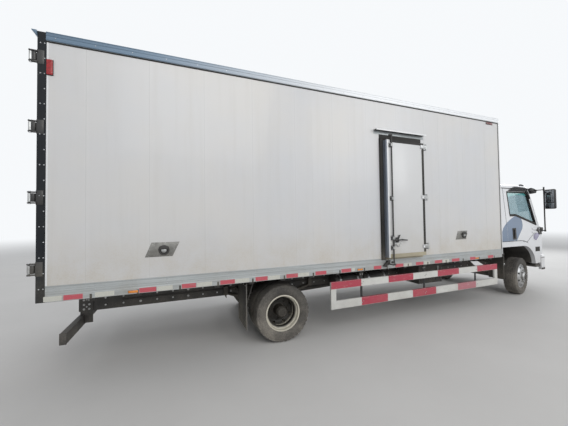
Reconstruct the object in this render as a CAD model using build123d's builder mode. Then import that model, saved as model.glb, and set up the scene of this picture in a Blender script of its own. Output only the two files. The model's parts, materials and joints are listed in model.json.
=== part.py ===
from build123d import *
import math
import os

# Refrigerated truck, millimetres. +X is the front, -Y the kerb (right) side, +Z up.
# The origin is on the ground under the middle of the whole vehicle.

# Overall lengths, front to rear
bumper_reach = 60
cab_length = 1870
cab_gap = 260
box_length = 7560
hinge_reach = 55
hinge_knuckle_radius = 15

# Running gear
wheelbase = 5820
cab_axle_setback = 790
tyre_radius = 412
tyre_width = 245
rim_radius = 247
rim_flange_radius = 261
rim_width = 190
twin_spacing = 272
rear_track = 1960
kingpin_y = 775
front_wheel_offset = 105
rest_steer = 12
fit_gap = 0.05
soft_gap = 0.3

# Chassis frame
frame_half = 430
frame_top = 800
rail_height = 210
rail_flange = 65
rail_web = 8

# Insulated box
box_half = 1220
wall = 80
rail_bottom = 940
bottom_rail_height = 168
bottom_rail_depth = 30
floor_bottom = 1000
roof_bottom = 3720
roof_thickness = 80
roof_rail_lip = 18
roof_rail_drop = 14
rain_lip_reach = 44
rear_post_width = 120
rear_frame_depth = 80
rear_sill_top = 1104
rear_header_bottom = 3640

# Box doors
leaf_gap = 6
rear_leaf_thickness = 80
rear_leaf_proud = 10
side_door_rear = 4530
side_door_width = 800
side_door_bottom = 1130
side_door_height = 1920
side_leaf_thickness = 90
side_seal = 19
side_seal_lap = 45
doorway_inset = 55

# Cab
cab_wall = 50
cab_half = 1040
cab_roof_half = 965
cab_sill = 870
cab_belt = 1500
cab_gutter = 2420
cab_top = 2520
cab_front_low = 1300
windscreen_lean = 300
cab_corner = 400
arch_top = 1105
arch_reach = 435
tilt_pivot_back = 80
tilt_pivot_z = 900
tilt_tube_radius = 18

overall_length = bumper_reach + cab_length + cab_gap + box_length + hinge_reach + hinge_knuckle_radius
front_x = overall_length / 2
cab_front_x = front_x - bumper_reach
cab_rear_x = cab_front_x - cab_length
box_front_x = cab_rear_x - cab_gap
box_rear_x = box_front_x - box_length
front_axle_x = cab_rear_x + cab_axle_setback
rear_axle_x = front_axle_x - wheelbase
axle_z = tyre_radius
frame_bottom = frame_top - rail_height
floor_top = rail_bottom + bottom_rail_height
roof_top = roof_bottom + roof_thickness
box_rear_inner_x = box_rear_x + rear_frame_depth
side_names = {-1: "right", 1: "left"}

os.makedirs("parts", exist_ok=True)


def block(x0, x1, y0, y1, z0, z1, mode=Mode.ADD):
    with Locations(((x0 + x1) / 2, (y0 + y1) / 2, (z0 + z1) / 2)):
        Box(abs(x1 - x0), abs(y1 - y0), abs(z1 - z0), mode=mode)


def side_block(side, x0, x1, y0, y1, z0, z1, mode=Mode.ADD):
    block(x0, x1, side * y0, side * y1, z0, z1, mode)


def upright(x, y, z0, z1, radius, mode=Mode.ADD):
    with Locations((x, y, (z0 + z1) / 2)):
        Cylinder(radius, z1 - z0, mode=mode)


def cross_bar(x, z, y0, y1, radius, mode=Mode.ADD):
    with Locations(Location((x, (y0 + y1) / 2, z), (90, 0, 0))):
        Cylinder(radius, abs(y1 - y0), mode=mode)


def long_bar(x0, x1, y, z, radius, mode=Mode.ADD):
    with Locations(Location(((x0 + x1) / 2, y, z), (0, 90, 0))):
        Cylinder(radius, x1 - x0, mode=mode)


# Frame rails, open to the middle
rail_rear_x = box_rear_x + 150
rail_front_x = cab_front_x - 90
with BuildPart() as frame_rails:
    for side in (-1, 1):
        side_block(side, rail_rear_x, rail_front_x, frame_half - rail_flange, frame_half, frame_bottom, frame_top)
        side_block(side, rail_rear_x, rail_front_x, frame_half - rail_flange, frame_half - rail_web,
                   frame_bottom + rail_web, frame_top - rail_web, Mode.SUBTRACT)
frame_rails.part.label = "frame_rails"
export_step(frame_rails.part, "parts/frame_rails.step")

# Crossmembers between the webs, each at its distance ahead of the rear axle
crossmember_ahead = (-2500, -1500, -560, 560, 1600, 2700, 3800, 4700)
crossmember_height = 110
with BuildPart() as frame_crossmembers:
    for ahead in crossmember_ahead:
        block(rear_axle_x + ahead - 40, rear_axle_x + ahead + 40, -(frame_half - rail_web), frame_half - rail_web,
              frame_top - rail_web - crossmember_height, frame_top - rail_web)
frame_crossmembers.part.label = "frame_crossmembers"
export_step(frame_crossmembers.part, "parts/frame_crossmembers.step")

# Sills along the frame and bearers across them under the box floor
sill_width = 70
bearer_bottom = 900
bearer_width = 60
bearer_half = box_half - 60
bearer_front_margin = 253
bearer_pitch = 455
bearer_count = int((box_length - bearer_front_margin - rear_frame_depth) / bearer_pitch) + 1
bearer_places = [box_front_x - bearer_front_margin - index * bearer_pitch for index in range(bearer_count)]
with BuildPart() as box_sills:
    for side in (-1, 1):
        side_block(side, rail_rear_x, box_front_x - 60, frame_half - sill_width, frame_half, frame_top, bearer_bottom)
box_sills.part.label = "box_sills"
export_step(box_sills.part, "parts/box_sills.step")

with BuildPart() as box_bearers:
    for bearer_x in bearer_places:
        block(bearer_x - bearer_width / 2, bearer_x + bearer_width / 2, -bearer_half, bearer_half,
              bearer_bottom, floor_bottom)
box_bearers.part.label = "box_bearers"
export_step(box_bearers.part, "parts/box_bearers.step")

# Insulated box: floor, walls, roof
rail_inner = box_half - bottom_rail_depth
with BuildPart() as box_floor:
    block(box_rear_inner_x, box_front_x - wall, -(box_half - wall), box_half - wall, floor_bottom, floor_top)
box_floor.part.label = "box_floor"
export_step(box_floor.part, "parts/box_floor.step")

door_x0 = box_rear_x + side_door_rear
door_x1 = door_x0 + side_door_width
doorway_x0 = door_x0 + doorway_inset
doorway_x1 = door_x1 - doorway_inset
doorway_z0 = side_door_bottom + doorway_inset
side_door_top = side_door_bottom + side_door_height
side_door_middle = side_door_bottom + side_door_height / 2
doorway_z1 = side_door_top - doorway_inset
side_axis_x = door_x1 + 60
side_axis_y = -(box_half + side_seal + leaf_gap + side_leaf_thickness - 5)
side_hinge_heights = (side_door_bottom + 180, side_door_middle, side_door_top - 120)
ear_thickness = 12
side_knuckle_half = 32
side_pin_radius = 8

with BuildPart() as box_side_right:
    block(box_rear_inner_x, box_front_x, -box_half, -(box_half - wall), floor_top, roof_bottom)
    block(box_rear_inner_x, box_front_x, -rail_inner, -(box_half - wall), floor_bottom, floor_top)
    block(doorway_x0, doorway_x1, -box_half - 10, -(box_half - wall) + 10, doorway_z0, doorway_z1, Mode.SUBTRACT)
box_side_right.part.label = "box_side_right"
export_step(box_side_right.part, "parts/box_side_right.step")

with BuildPart() as box_side_left:
    block(box_rear_inner_x, box_front_x, box_half - wall, box_half, floor_top, roof_bottom)
    block(box_rear_inner_x, box_front_x, box_half - wall, rail_inner, floor_bottom, floor_top)
box_side_left.part.label = "box_side_left"
export_step(box_side_left.part, "parts/box_side_left.step")

with BuildPart() as box_front_wall:
    block(box_front_x - wall, box_front_x, -(box_half - wall), box_half - wall, floor_bottom, roof_bottom)
box_front_wall.part.label = "box_front_wall"
export_step(box_front_wall.part, "parts/box_front_wall.step")

roof_inner = box_half - 20
with BuildPart() as box_roof:
    block(box_rear_inner_x, box_front_x, -roof_inner, roof_inner, roof_bottom, roof_top - 4)
box_roof.part.label = "box_roof"
export_step(box_roof.part, "parts/box_roof.step")

# Extruded edge rails: two on the roof, two along the floor, with the drip rail over the side door
drip_z = side_door_top + 170
drip_reach = 75
with BuildPart() as box_rails:
    for side in (-1, 1):
        side_block(side, box_rear_inner_x, box_front_x, roof_inner, box_half + roof_rail_lip, roof_bottom, roof_top)
        side_block(side, box_rear_inner_x, box_front_x, box_half, box_half + roof_rail_lip,
                   roof_bottom - roof_rail_drop, roof_bottom)
        side_block(side, box_rear_inner_x, box_front_x, rail_inner, box_half, rail_bottom, floor_top)
box_rails.part.label = "box_rails"
export_step(box_rails.part, "parts/box_rails.step")

# Drip rail and wall hinge ears of the side door
with BuildPart() as side_door_fittings:
    block(door_x0 - 70, door_x1 + 120, -box_half, -(box_half + drip_reach), drip_z, drip_z + 8)
    block(door_x0 - 70, door_x1 + 120, -box_half, -(box_half + 8), drip_z - 30, drip_z)
    for height in side_hinge_heights:
        for sign in (-1, 1):
            ear_z0 = height + sign * (side_knuckle_half + leaf_gap)
            ear_z1 = ear_z0 + sign * ear_thickness
            block(side_axis_x - 13, side_axis_x + 13, -box_half, side_axis_y, ear_z0, ear_z1)
            upright(side_axis_x, side_axis_y, min(ear_z0, ear_z1), max(ear_z0, ear_z1), 13)
        block(side_axis_x - 13, side_axis_x + 40, -box_half, -(box_half + 6),
              height - side_knuckle_half - 40, height + side_knuckle_half + 40)
        upright(side_axis_x, side_axis_y, height - side_knuckle_half - leaf_gap,
                height + side_knuckle_half + leaf_gap, side_pin_radius)
side_door_fittings.part.label = "side_door_fittings"
export_step(side_door_fittings.part, "parts/side_door_fittings.step")

# Side door leaf: overlay panel with its seal, lock rod, lever and hinge straps
leaf_inner_y = box_half + leaf_gap + side_seal
leaf_outer_y = leaf_inner_y + side_leaf_thickness
rod_x = door_x0 + 75
lever_z = side_door_bottom + 270
with BuildPart() as side_door:
    block(door_x0, door_x1, -leaf_inner_y, -leaf_outer_y, side_door_bottom, side_door_top)
    block(door_x0 - side_seal_lap, door_x1 + side_seal_lap, -(box_half + leaf_gap), -leaf_inner_y,
          side_door_bottom - side_seal_lap, side_door_top + side_seal_lap)
    for height in side_hinge_heights:
        block(door_x1 - 170, side_axis_x, -(leaf_outer_y - 6), -(leaf_outer_y + 6), height - side_knuckle_half,
              height + side_knuckle_half)
        upright(side_axis_x, side_axis_y, height - side_knuckle_half, height + side_knuckle_half, 16)
        upright(side_axis_x, side_axis_y, height - side_knuckle_half - 1, height + side_knuckle_half + 1,
                side_pin_radius + fit_gap, Mode.SUBTRACT)
    upright(rod_x, -(leaf_outer_y + 22), side_door_bottom - 60, side_door_top + 60, 12)
    for height in (side_door_bottom + 160, side_door_bottom + 320, side_door_middle, side_door_top - 90):
        block(rod_x - 30, rod_x + 30, -leaf_outer_y, -(leaf_outer_y + 16), height - 30, height + 30)
    block(rod_x + 10, rod_x + 260, -(leaf_outer_y + 20), -(leaf_outer_y + 34), lever_z, lever_z + 24)
    block(rod_x + 40, rod_x + 130, -leaf_outer_y, -(leaf_outer_y + 22), lever_z - 30, lever_z + 54)
side_door.part.label = "side_door"
export_step(side_door.part, "parts/side_door.step")

# Rear portal frame with the hinge ears and pins
rear_hinge_heights = (1290, 2035, 2780, 3525)
rear_axis_x = box_rear_x - hinge_reach
rear_axis_y = box_half
rear_knuckle_half = 45
rear_pin_radius = 9
with BuildPart() as rear_frame:
    for side in (-1, 1):
        side_block(side, box_rear_x, box_rear_inner_x, box_half - rear_post_width, box_half, rail_bottom, roof_top)
        for height in rear_hinge_heights:
            for sign in (-1, 1):
                ear_z0 = height + sign * (rear_knuckle_half + leaf_gap)
                ear_z1 = ear_z0 + sign * ear_thickness
                side_block(side, rear_axis_x, box_rear_x, box_half - 14, box_half, ear_z0, ear_z1)
                upright(rear_axis_x, side * rear_axis_y, min(ear_z0, ear_z1), max(ear_z0, ear_z1), 14)
            upright(rear_axis_x, side * rear_axis_y, height - rear_knuckle_half - leaf_gap,
                    height + rear_knuckle_half + leaf_gap, rear_pin_radius)
    block(box_rear_x, box_rear_inner_x, -(box_half - rear_post_width), box_half - rear_post_width,
          rail_bottom, rear_sill_top)
    block(box_rear_x, box_rear_inner_x, -(box_half - rear_post_width), box_half - rear_post_width,
          rear_header_bottom, roof_top)
    with BuildSketch(Plane.XZ):
        with BuildLine():
            Polyline((box_rear_x + 5, roof_top), (box_rear_x - rain_lip_reach, roof_top),
                     (box_rear_x - rain_lip_reach, roof_top - 7), (box_rear_x, roof_top - 52),
                     (box_rear_x + 5, roof_top - 52), close=True)
        make_face()
    extrude(amount=box_half, both=True)
rear_frame.part.label = "rear_frame"
export_step(rear_frame.part, "parts/rear_frame.step")

# Rear door leaves with straps, lock rods and levers
leaf_out_x = box_rear_x - rear_leaf_proud
leaf_in_x = leaf_out_x + rear_leaf_thickness
leaf_edge = box_half - rear_post_width - leaf_gap
rod_offsets = (170, 820)
for side in (-1, 1):
    with BuildPart() as rear_door:
        side_block(side, leaf_out_x, leaf_in_x, leaf_gap / 2, leaf_edge, rear_sill_top + leaf_gap,
                   rear_header_bottom - leaf_gap)
        for height in rear_hinge_heights:
            side_block(side, leaf_out_x - 12, leaf_out_x, leaf_edge - 160, rear_axis_y, height - rear_knuckle_half,
                       height + rear_knuckle_half)
            side_block(side, rear_axis_x, leaf_out_x, rear_axis_y - 10, rear_axis_y + 10,
                       height - rear_knuckle_half, height + rear_knuckle_half)
            upright(rear_axis_x, side * rear_axis_y, height - rear_knuckle_half, height + rear_knuckle_half,
                    hinge_knuckle_radius)
            upright(rear_axis_x, side * rear_axis_y, height - rear_knuckle_half - 1, height + rear_knuckle_half + 1,
                    rear_pin_radius + fit_gap, Mode.SUBTRACT)
        for rod_y in rod_offsets:
            upright(leaf_out_x - 24, side * rod_y, rear_sill_top - 90, rear_header_bottom + 90, 12)
            for height in (1250, 1800, 2500, 3200, 3500):
                block(leaf_out_x - 18, leaf_out_x, side * rod_y - 30, side * rod_y + 30, height - 30, height + 30)
            side_block(side, leaf_out_x - 34, leaf_out_x - 22, rod_y, rod_y + 300, 1480, 1510)
    rear_door.part.label = f"rear_door_{side_names[side]}"
    export_step(rear_door.part, f"parts/rear_door_{side_names[side]}.step")

# Refrigeration unit on the nose wall
unit_half = 860
unit_reach = 430
unit_bottom = 2760
unit_top = 3600
louvre_half = 620
louvre_z0 = 2900
louvre_z1 = 3380
louvre_depth = 25
louvre_count = 9
with BuildPart() as fridge_unit:
    block(box_front_x, box_front_x + unit_reach, -unit_half, unit_half, unit_bottom, unit_top)
    fillet(fridge_unit.edges().filter_by(Axis.Z).sort_by(Axis.X)[-2:], 90)
    fillet(fridge_unit.faces().sort_by(Axis.X)[-1].edges().sort_by(Axis.Z)[-1:], 60)
    unit_x = box_front_x + unit_reach
    block(unit_x - louvre_depth, unit_x + 5, -louvre_half, louvre_half, louvre_z0, louvre_z1, Mode.SUBTRACT)
    for louvre in range(louvre_count):
        louvre_z = louvre_z0 + (louvre + 0.5) * (louvre_z1 - louvre_z0) / louvre_count
        block(unit_x - louvre_depth, unit_x - 2, -louvre_half, louvre_half, louvre_z - 10, louvre_z + 10)
fridge_unit.part.label = "fridge_unit"
export_step(fridge_unit.part, "parts/fridge_unit.step")

# Rear axle: banjo housing and tubes
axle_tube_radius = 60
rear_wheel_y = rear_track / 2
twin_middle_y = rear_wheel_y - twin_spacing / 2
rear_hub_inner_y = 590
spindle_radius = 42
with BuildPart() as rear_axle:
    cross_bar(rear_axle_x, axle_z, -rear_hub_inner_y, rear_hub_inner_y, axle_tube_radius)
    cross_bar(rear_axle_x, axle_z, -(rear_wheel_y + 20), rear_wheel_y + 20, spindle_radius)
    cross_bar(rear_axle_x, axle_z, -95, 95, 185)
    long_bar(rear_axle_x, rear_axle_x + 300, 0, axle_z, 70)
rear_axle.part.label = "rear_axle"
export_step(rear_axle.part, "parts/rear_axle.step")

# Leaf springs: one pack a side and axle, lying on the axle with its eyes up at the rail
spring_width = 65
spring_y = frame_half + 36
spring_eye_radius = 30
rear_spring_half = 720
front_spring_half = 640
spring_pack = 75
with BuildPart() as leaf_springs:
    for side in (-1, 1):
        for centre_x, half, seat_z in ((rear_axle_x, rear_spring_half, axle_z + axle_tube_radius + soft_gap),
                                       (front_axle_x, front_spring_half, axle_z - 10)):
            with BuildSketch(Plane.XZ.offset(-side * spring_y)) as spring_side:
                with BuildLine() as spring_line:
                    spring_low = ThreePointArc((centre_x - half, seat_z + 150), (centre_x, seat_z),
                                               (centre_x + half, seat_z + 150))
                    Line(spring_low @ 1, (centre_x + half, seat_z + 166))
                    spring_high = ThreePointArc((centre_x + half, seat_z + 166), (centre_x, seat_z + spring_pack),
                                                (centre_x - half, seat_z + 166))
                    Line(spring_high @ 1, spring_low @ 0)
                make_face()
            extrude(amount=spring_width / 2, both=True)
            for end in (-1, 1):
                eye_x = centre_x + end * (half + 10)
                cross_bar(eye_x, seat_z + 158, side * frame_half, side * (spring_y + spring_width / 2),
                          spring_eye_radius)
                side_block(side, eye_x - spring_eye_radius, eye_x + spring_eye_radius, frame_half,
                           spring_y + spring_width / 2, seat_z + 158, frame_top - 60)
leaf_springs.part.label = "leaf_springs"
export_step(leaf_springs.part, "parts/leaf_springs.step")

# Front axle beam with an eye for each kingpin
beam_half = kingpin_y
eye_radius = 46
eye_half = 45
kingpin_radius = 20
with BuildPart() as front_axle:
    block(front_axle_x - 45, front_axle_x + 45, -620, 620, axle_z - 110, axle_z - 10 - soft_gap)
    for side in (-1, 1):
        side_block(side, front_axle_x - 36, front_axle_x + 36, 600, 700, axle_z - 75, axle_z + 20)
        side_block(side, front_axle_x - 36, front_axle_x + 36, 690, kingpin_y, axle_z - eye_half, axle_z + eye_half)
        upright(front_axle_x, side * kingpin_y, axle_z - eye_half, axle_z + eye_half, eye_radius)
        upright(front_axle_x, side * kingpin_y, axle_z - eye_half - 40, axle_z + eye_half + 1,
                kingpin_radius + fit_gap, Mode.SUBTRACT)
front_axle.part.label = "front_axle"
export_step(front_axle.part, "parts/front_axle.step")

# Propeller shaft, sloping from the engine down to the rear axle
engine_x0 = cab_rear_x + 160
shaft_radius = 45
shaft_end_gap = 2.7
with BuildPart() as propshaft:
    shaft_start = (rear_axle_x + 300 + shaft_end_gap, 0, axle_z + 6)
    shaft_end = (engine_x0 - shaft_end_gap, 0, frame_bottom + 20)
    shaft_dir = (shaft_end[0] - shaft_start[0], 0, shaft_end[2] - shaft_start[2])
    with BuildSketch(Plane(origin=shaft_start, z_dir=shaft_dir)):
        Circle(shaft_radius)
    extrude(amount=math.hypot(shaft_dir[0], shaft_dir[2]))
propshaft.part.label = "propshaft"
export_step(propshaft.part, "parts/propshaft.step")

# Engine and gearbox as one plain block between the rails, clear of the foot well's rear wall
foot_reach = 690
foot_x = cab_front_x - foot_reach
deck_thickness = 40
engine_foot_gap = 30
with BuildPart() as engine_block:
    block(engine_x0, foot_x - deck_thickness - engine_foot_gap, -330, 330, 560, 1240)
engine_block.part.label = "engine_block"
export_step(engine_block.part, "parts/engine_block.step")

# Fuel tank on the left rail, battery box on the right rail
tank_x0 = rear_axle_x + 2500
with BuildPart() as fuel_tank:
    block(tank_x0, tank_x0 + 1100, frame_half + 30, frame_half + 560, 430, 880)
    fillet(fuel_tank.edges().filter_by(Axis.X), 70)
    for strap_x in (220, 880):
        block(tank_x0 + strap_x - 25, tank_x0 + strap_x + 25, frame_half, frame_half + 60, 600, 780)
fuel_tank.part.label = "fuel_tank"
export_step(fuel_tank.part, "parts/fuel_tank.step")

with BuildPart() as battery_box:
    block(tank_x0 + 300, tank_x0 + 900, -(frame_half + 500), -frame_half, 520, 860)
battery_box.part.label = "battery_box"
export_step(battery_box.part, "parts/battery_box.step")

# Side guards: two bars on posts, with brackets up to the bearers
guard_x0 = rear_axle_x + 750
guard_x1 = rear_axle_x + 4690
guard_y = box_half - 50
guard_depth = 30
guard_low = 385
guard_high = 800
guard_low_bar = 125
guard_top_bar = 110
guard_post = 90
guard_brackets = [x for x in bearer_places[1::3] if guard_x0 + guard_post < x < guard_x1 - guard_post]
with BuildPart() as side_guards:
    for side in (-1, 1):
        side_block(side, guard_x0, guard_x1, guard_y - guard_depth, guard_y, guard_low, guard_high)
        side_block(side, guard_x0 + guard_post, guard_x1 - guard_post, guard_y - guard_depth - 1, guard_y + 1,
                   guard_low + guard_low_bar, guard_high - guard_top_bar, Mode.SUBTRACT)
        for bearer_x in guard_brackets:
            side_block(side, bearer_x - 20, bearer_x + 20, guard_y - guard_depth - 8, guard_y - guard_depth,
                       guard_low + 20, bearer_bottom)
side_guards.part.label = "side_guards"
export_step(side_guards.part, "parts/side_guards.step")

# Air tanks on the right rail, silencer on the left one
air_tank_radius = 120
air_tank_y = frame_half + 20 + air_tank_radius
with BuildPart() as air_tanks:
    for ahead in (1150, 1750):
        long_bar(rear_axle_x + ahead, rear_axle_x + ahead + 560, -air_tank_y, 650, air_tank_radius)
        block(rear_axle_x + ahead + 200, rear_axle_x + ahead + 260, -(air_tank_y - 60), -frame_half, 620, 760)
air_tanks.part.label = "air_tanks"
export_step(air_tanks.part, "parts/air_tanks.step")

silencer_x0 = tank_x0 + 1350
silencer_radius = 130
with BuildPart() as silencer:
    long_bar(silencer_x0, silencer_x0 + 620, frame_half + 170, 640, silencer_radius)
    long_bar(silencer_x0 - 235, silencer_x0, frame_half + 170, 600, 38)
    block(silencer_x0 + 280, silencer_x0 + 340, frame_half, frame_half + 100, 620, 760)
silencer.part.label = "silencer"
export_step(silencer.part, "parts/silencer.step")

# Mud flaps behind the wheels, on brackets from the frame
flap_x = rear_axle_x - tyre_radius - 130
front_flap_x = front_axle_x - tyre_radius - 220
with BuildPart() as mud_flaps:
    for side in (-1, 1):
        side_block(side, flap_x - 8, flap_x, 580, 1110, 260, 900)
        side_block(side, flap_x - 30, flap_x + 22, frame_half, 600, 680, 720)
        side_block(side, front_flap_x - 10, front_flap_x, 700, 1010, 400, 1000)
        side_block(side, front_flap_x - 40, front_flap_x + 20, frame_half, 730, 740, 780)
mud_flaps.part.label = "mud_flaps"
export_step(mud_flaps.part, "parts/mud_flaps.step")

# Rear underrun bar with its hangers
underrun_x = box_rear_x + 160
with BuildPart() as rear_underrun:
    block(underrun_x, underrun_x + 60, -1080, 1080, 430, 550)
    for side in (-1, 1):
        side_block(side, underrun_x + 10, underrun_x + 150, frame_half, frame_half + 12, 440, frame_top - 20)
rear_underrun.part.label = "rear_underrun"
export_step(rear_underrun.part, "parts/rear_underrun.step")

# Front bumper, wrapped round the corners, carried by the rails and holding the tilt tube
bumper_bottom = 520
bumper_top = 828
bumper_wall = 55
bumper_back = 445
bumper_half = cab_half + 10
head_lamp_y0 = 470
head_lamp_y1 = 760
head_lamp_z0 = 610
head_lamp_z1 = 770
intake_half = 400
pivot_x = cab_front_x - tilt_pivot_back
with BuildPart() as front_bumper:
    with BuildSketch(Plane.XY.offset(bumper_bottom)) as bumper_plan:
        with Locations((front_x - 500, 0)):
            RectangleRounded(1000, 2 * bumper_half, cab_corner)
        with Locations((front_x - 500, 0)):
            RectangleRounded(1000 - 2 * bumper_wall, 2 * (bumper_half - bumper_wall), cab_corner - bumper_wall,
                             mode=Mode.SUBTRACT)
        with Locations((front_x - bumper_back - 400, 0)):
            Rectangle(800, 2 * bumper_half + 10, mode=Mode.SUBTRACT)
    extrude(amount=bumper_top - bumper_bottom)
    for side in (-1, 1):
        side_block(side, front_x - bumper_wall - 5, front_x + 5, head_lamp_y0, head_lamp_y1, head_lamp_z0,
                   head_lamp_z1, Mode.SUBTRACT)
        side_block(side, rail_front_x, front_x - bumper_wall, frame_half - 60, frame_half, frame_bottom + 20,
                   bumper_top - 60)
    block(front_x - 25, front_x + 5, -intake_half, intake_half, 570, 640, Mode.SUBTRACT)
front_bumper.part.label = "front_bumper"
export_step(front_bumper.part, "parts/front_bumper.step")

# Tilt tube at the front of the frame and the rear cab hoop
deck_bottom = 1300
hoop_x = cab_rear_x + 110
hoop_width = 70
with BuildPart() as cab_mounts:
    cross_bar(pivot_x, tilt_pivot_z, -frame_half, frame_half, tilt_tube_radius)
    for side in (-1, 1):
        side_block(side, rail_front_x - 60, pivot_x - 5, frame_half - rail_flange, frame_half, frame_top,
                   tilt_pivot_z + tilt_tube_radius)
        side_block(side, hoop_x, hoop_x + hoop_width, frame_half - rail_flange, frame_half, frame_top,
                   deck_bottom - soft_gap)
    block(hoop_x, hoop_x + hoop_width, -frame_half, frame_half, deck_bottom - 50, deck_bottom - soft_gap)
cab_mounts.part.label = "cab_mounts"
export_step(cab_mounts.part, "parts/cab_mounts.step")

# Lamps: head lamps on the bumper, tail lamps on the underrun bar, markers on the rails and walls
with BuildPart() as lamps:
    for side in (-1, 1):
        side_block(side, front_x - bumper_wall, front_x, head_lamp_y0, head_lamp_y1, head_lamp_z0, head_lamp_z1)
        side_block(side, underrun_x - 40, underrun_x, 640, 1060, 440, 540)
        side_block(side, box_rear_inner_x, box_rear_inner_x + 60, box_half, box_half + 22, 3340, 3510)
        side_block(side, box_front_x - 370, box_front_x - 170, box_half, box_half + 12, 3645, 3695)
        for ahead in (-1900, 1250, 4000):
            side_block(side, rear_axle_x + ahead - 55, rear_axle_x + ahead + 55, box_half, box_half + 12, 950, 985)
lamps.part.label = "lamps"
export_step(lamps.part, "parts/lamps.step")

# Wheels. Each plane has x outboard along the wheel axis and y up
knuckle_ear = 28
ear_gap = 4


def wheel_plane(centre, side, steer):
    turn = math.radians(steer)
    outboard = Vector(-side * math.sin(turn), side * math.cos(turn), 0)
    return Plane(origin=centre, x_dir=outboard, z_dir=outboard.cross(Vector(0, 0, 1)))


def turned(plane, *outlines):
    with BuildSketch(plane) as profile:
        for points in outlines:
            with BuildLine():
                Polyline(*points, close=True)
            make_face()
    revolve(profile.sketch, axis=Axis(plane.origin, plane.x_dir))


def tyre_outline(centre):
    half = tyre_width / 2
    bead = rim_radius + 5.5
    return ((centre - 78, bead), (centre - half + 8, bead + 48), (centre - half, bead + 85),
            (centre - half + 12, tyre_radius - 20), (centre - half + 32, tyre_radius - 4),
            (centre - 40, tyre_radius), (centre + 40, tyre_radius),
            (centre + half - 32, tyre_radius - 4), (centre + half - 12, tyre_radius - 20),
            (centre + half, bead + 85), (centre + half - 8, bead + 48), (centre + 78, bead),
            (centre + 66, bead + 8), (centre + half - 24, bead + 50), (centre + half - 22, tyre_radius - 42),
            (centre - half + 22, tyre_radius - 42), (centre - half + 24, bead + 50), (centre - 66, bead + 8))


def rim_outline(centre):
    half = rim_width / 2
    well = rim_radius - 38
    return ((centre - half, rim_flange_radius), (centre - half + 8, rim_flange_radius),
            (centre - half + 9, rim_radius + 6), (centre - 50, rim_radius + 2), (centre - 30, well + 8),
            (centre + 30, well + 8), (centre + 50, rim_radius + 2), (centre + half - 9, rim_radius + 6),
            (centre + half - 8, rim_flange_radius), (centre + half, rim_flange_radius),
            (centre + half, rim_radius - 4), (centre + 46, rim_radius - 8), (centre + 27, well),
            (centre - 27, well), (centre - 46, rim_radius - 8), (centre - half, rim_radius - 4))


disc_offset = 130
disc_thickness = 12
hub_radius = 85
drum_radius = 165
hand_hole_radius = 22
hand_hole_ring = 200
hand_hole_count = 8


def disc_outline(centre, way):
    face = centre + way * disc_offset
    back = face - way * disc_thickness
    root = rim_radius - 2
    return ((centre + way * 74, root), (face - way * 12, 202), (face, 172), (face, hub_radius - 5),
            (back, hub_radius - 5), (back, 166), (back - way * 12, 194), (centre + way * 58, root))


def drum_outline(start, face):
    inner = drum_radius - 14
    back = face - disc_thickness - 14
    return ((start, inner), (start, drum_radius), (face - 20, drum_radius), (face - 6, drum_radius - 25),
            (face - 6, hub_radius - 2), (back, hub_radius - 2), (back, inner))


def hand_holes(plane, middle, depth):
    for index in range(hand_hole_count):
        turn = 2 * math.pi * (index + 0.5) / hand_hole_count
        place = Location((middle, hand_hole_ring * math.cos(turn), hand_hole_ring * math.sin(turn)), (0, 90, 0))
        with Locations(plane.location * place):
            Cylinder(hand_hole_radius, depth, mode=Mode.SUBTRACT)


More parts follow.
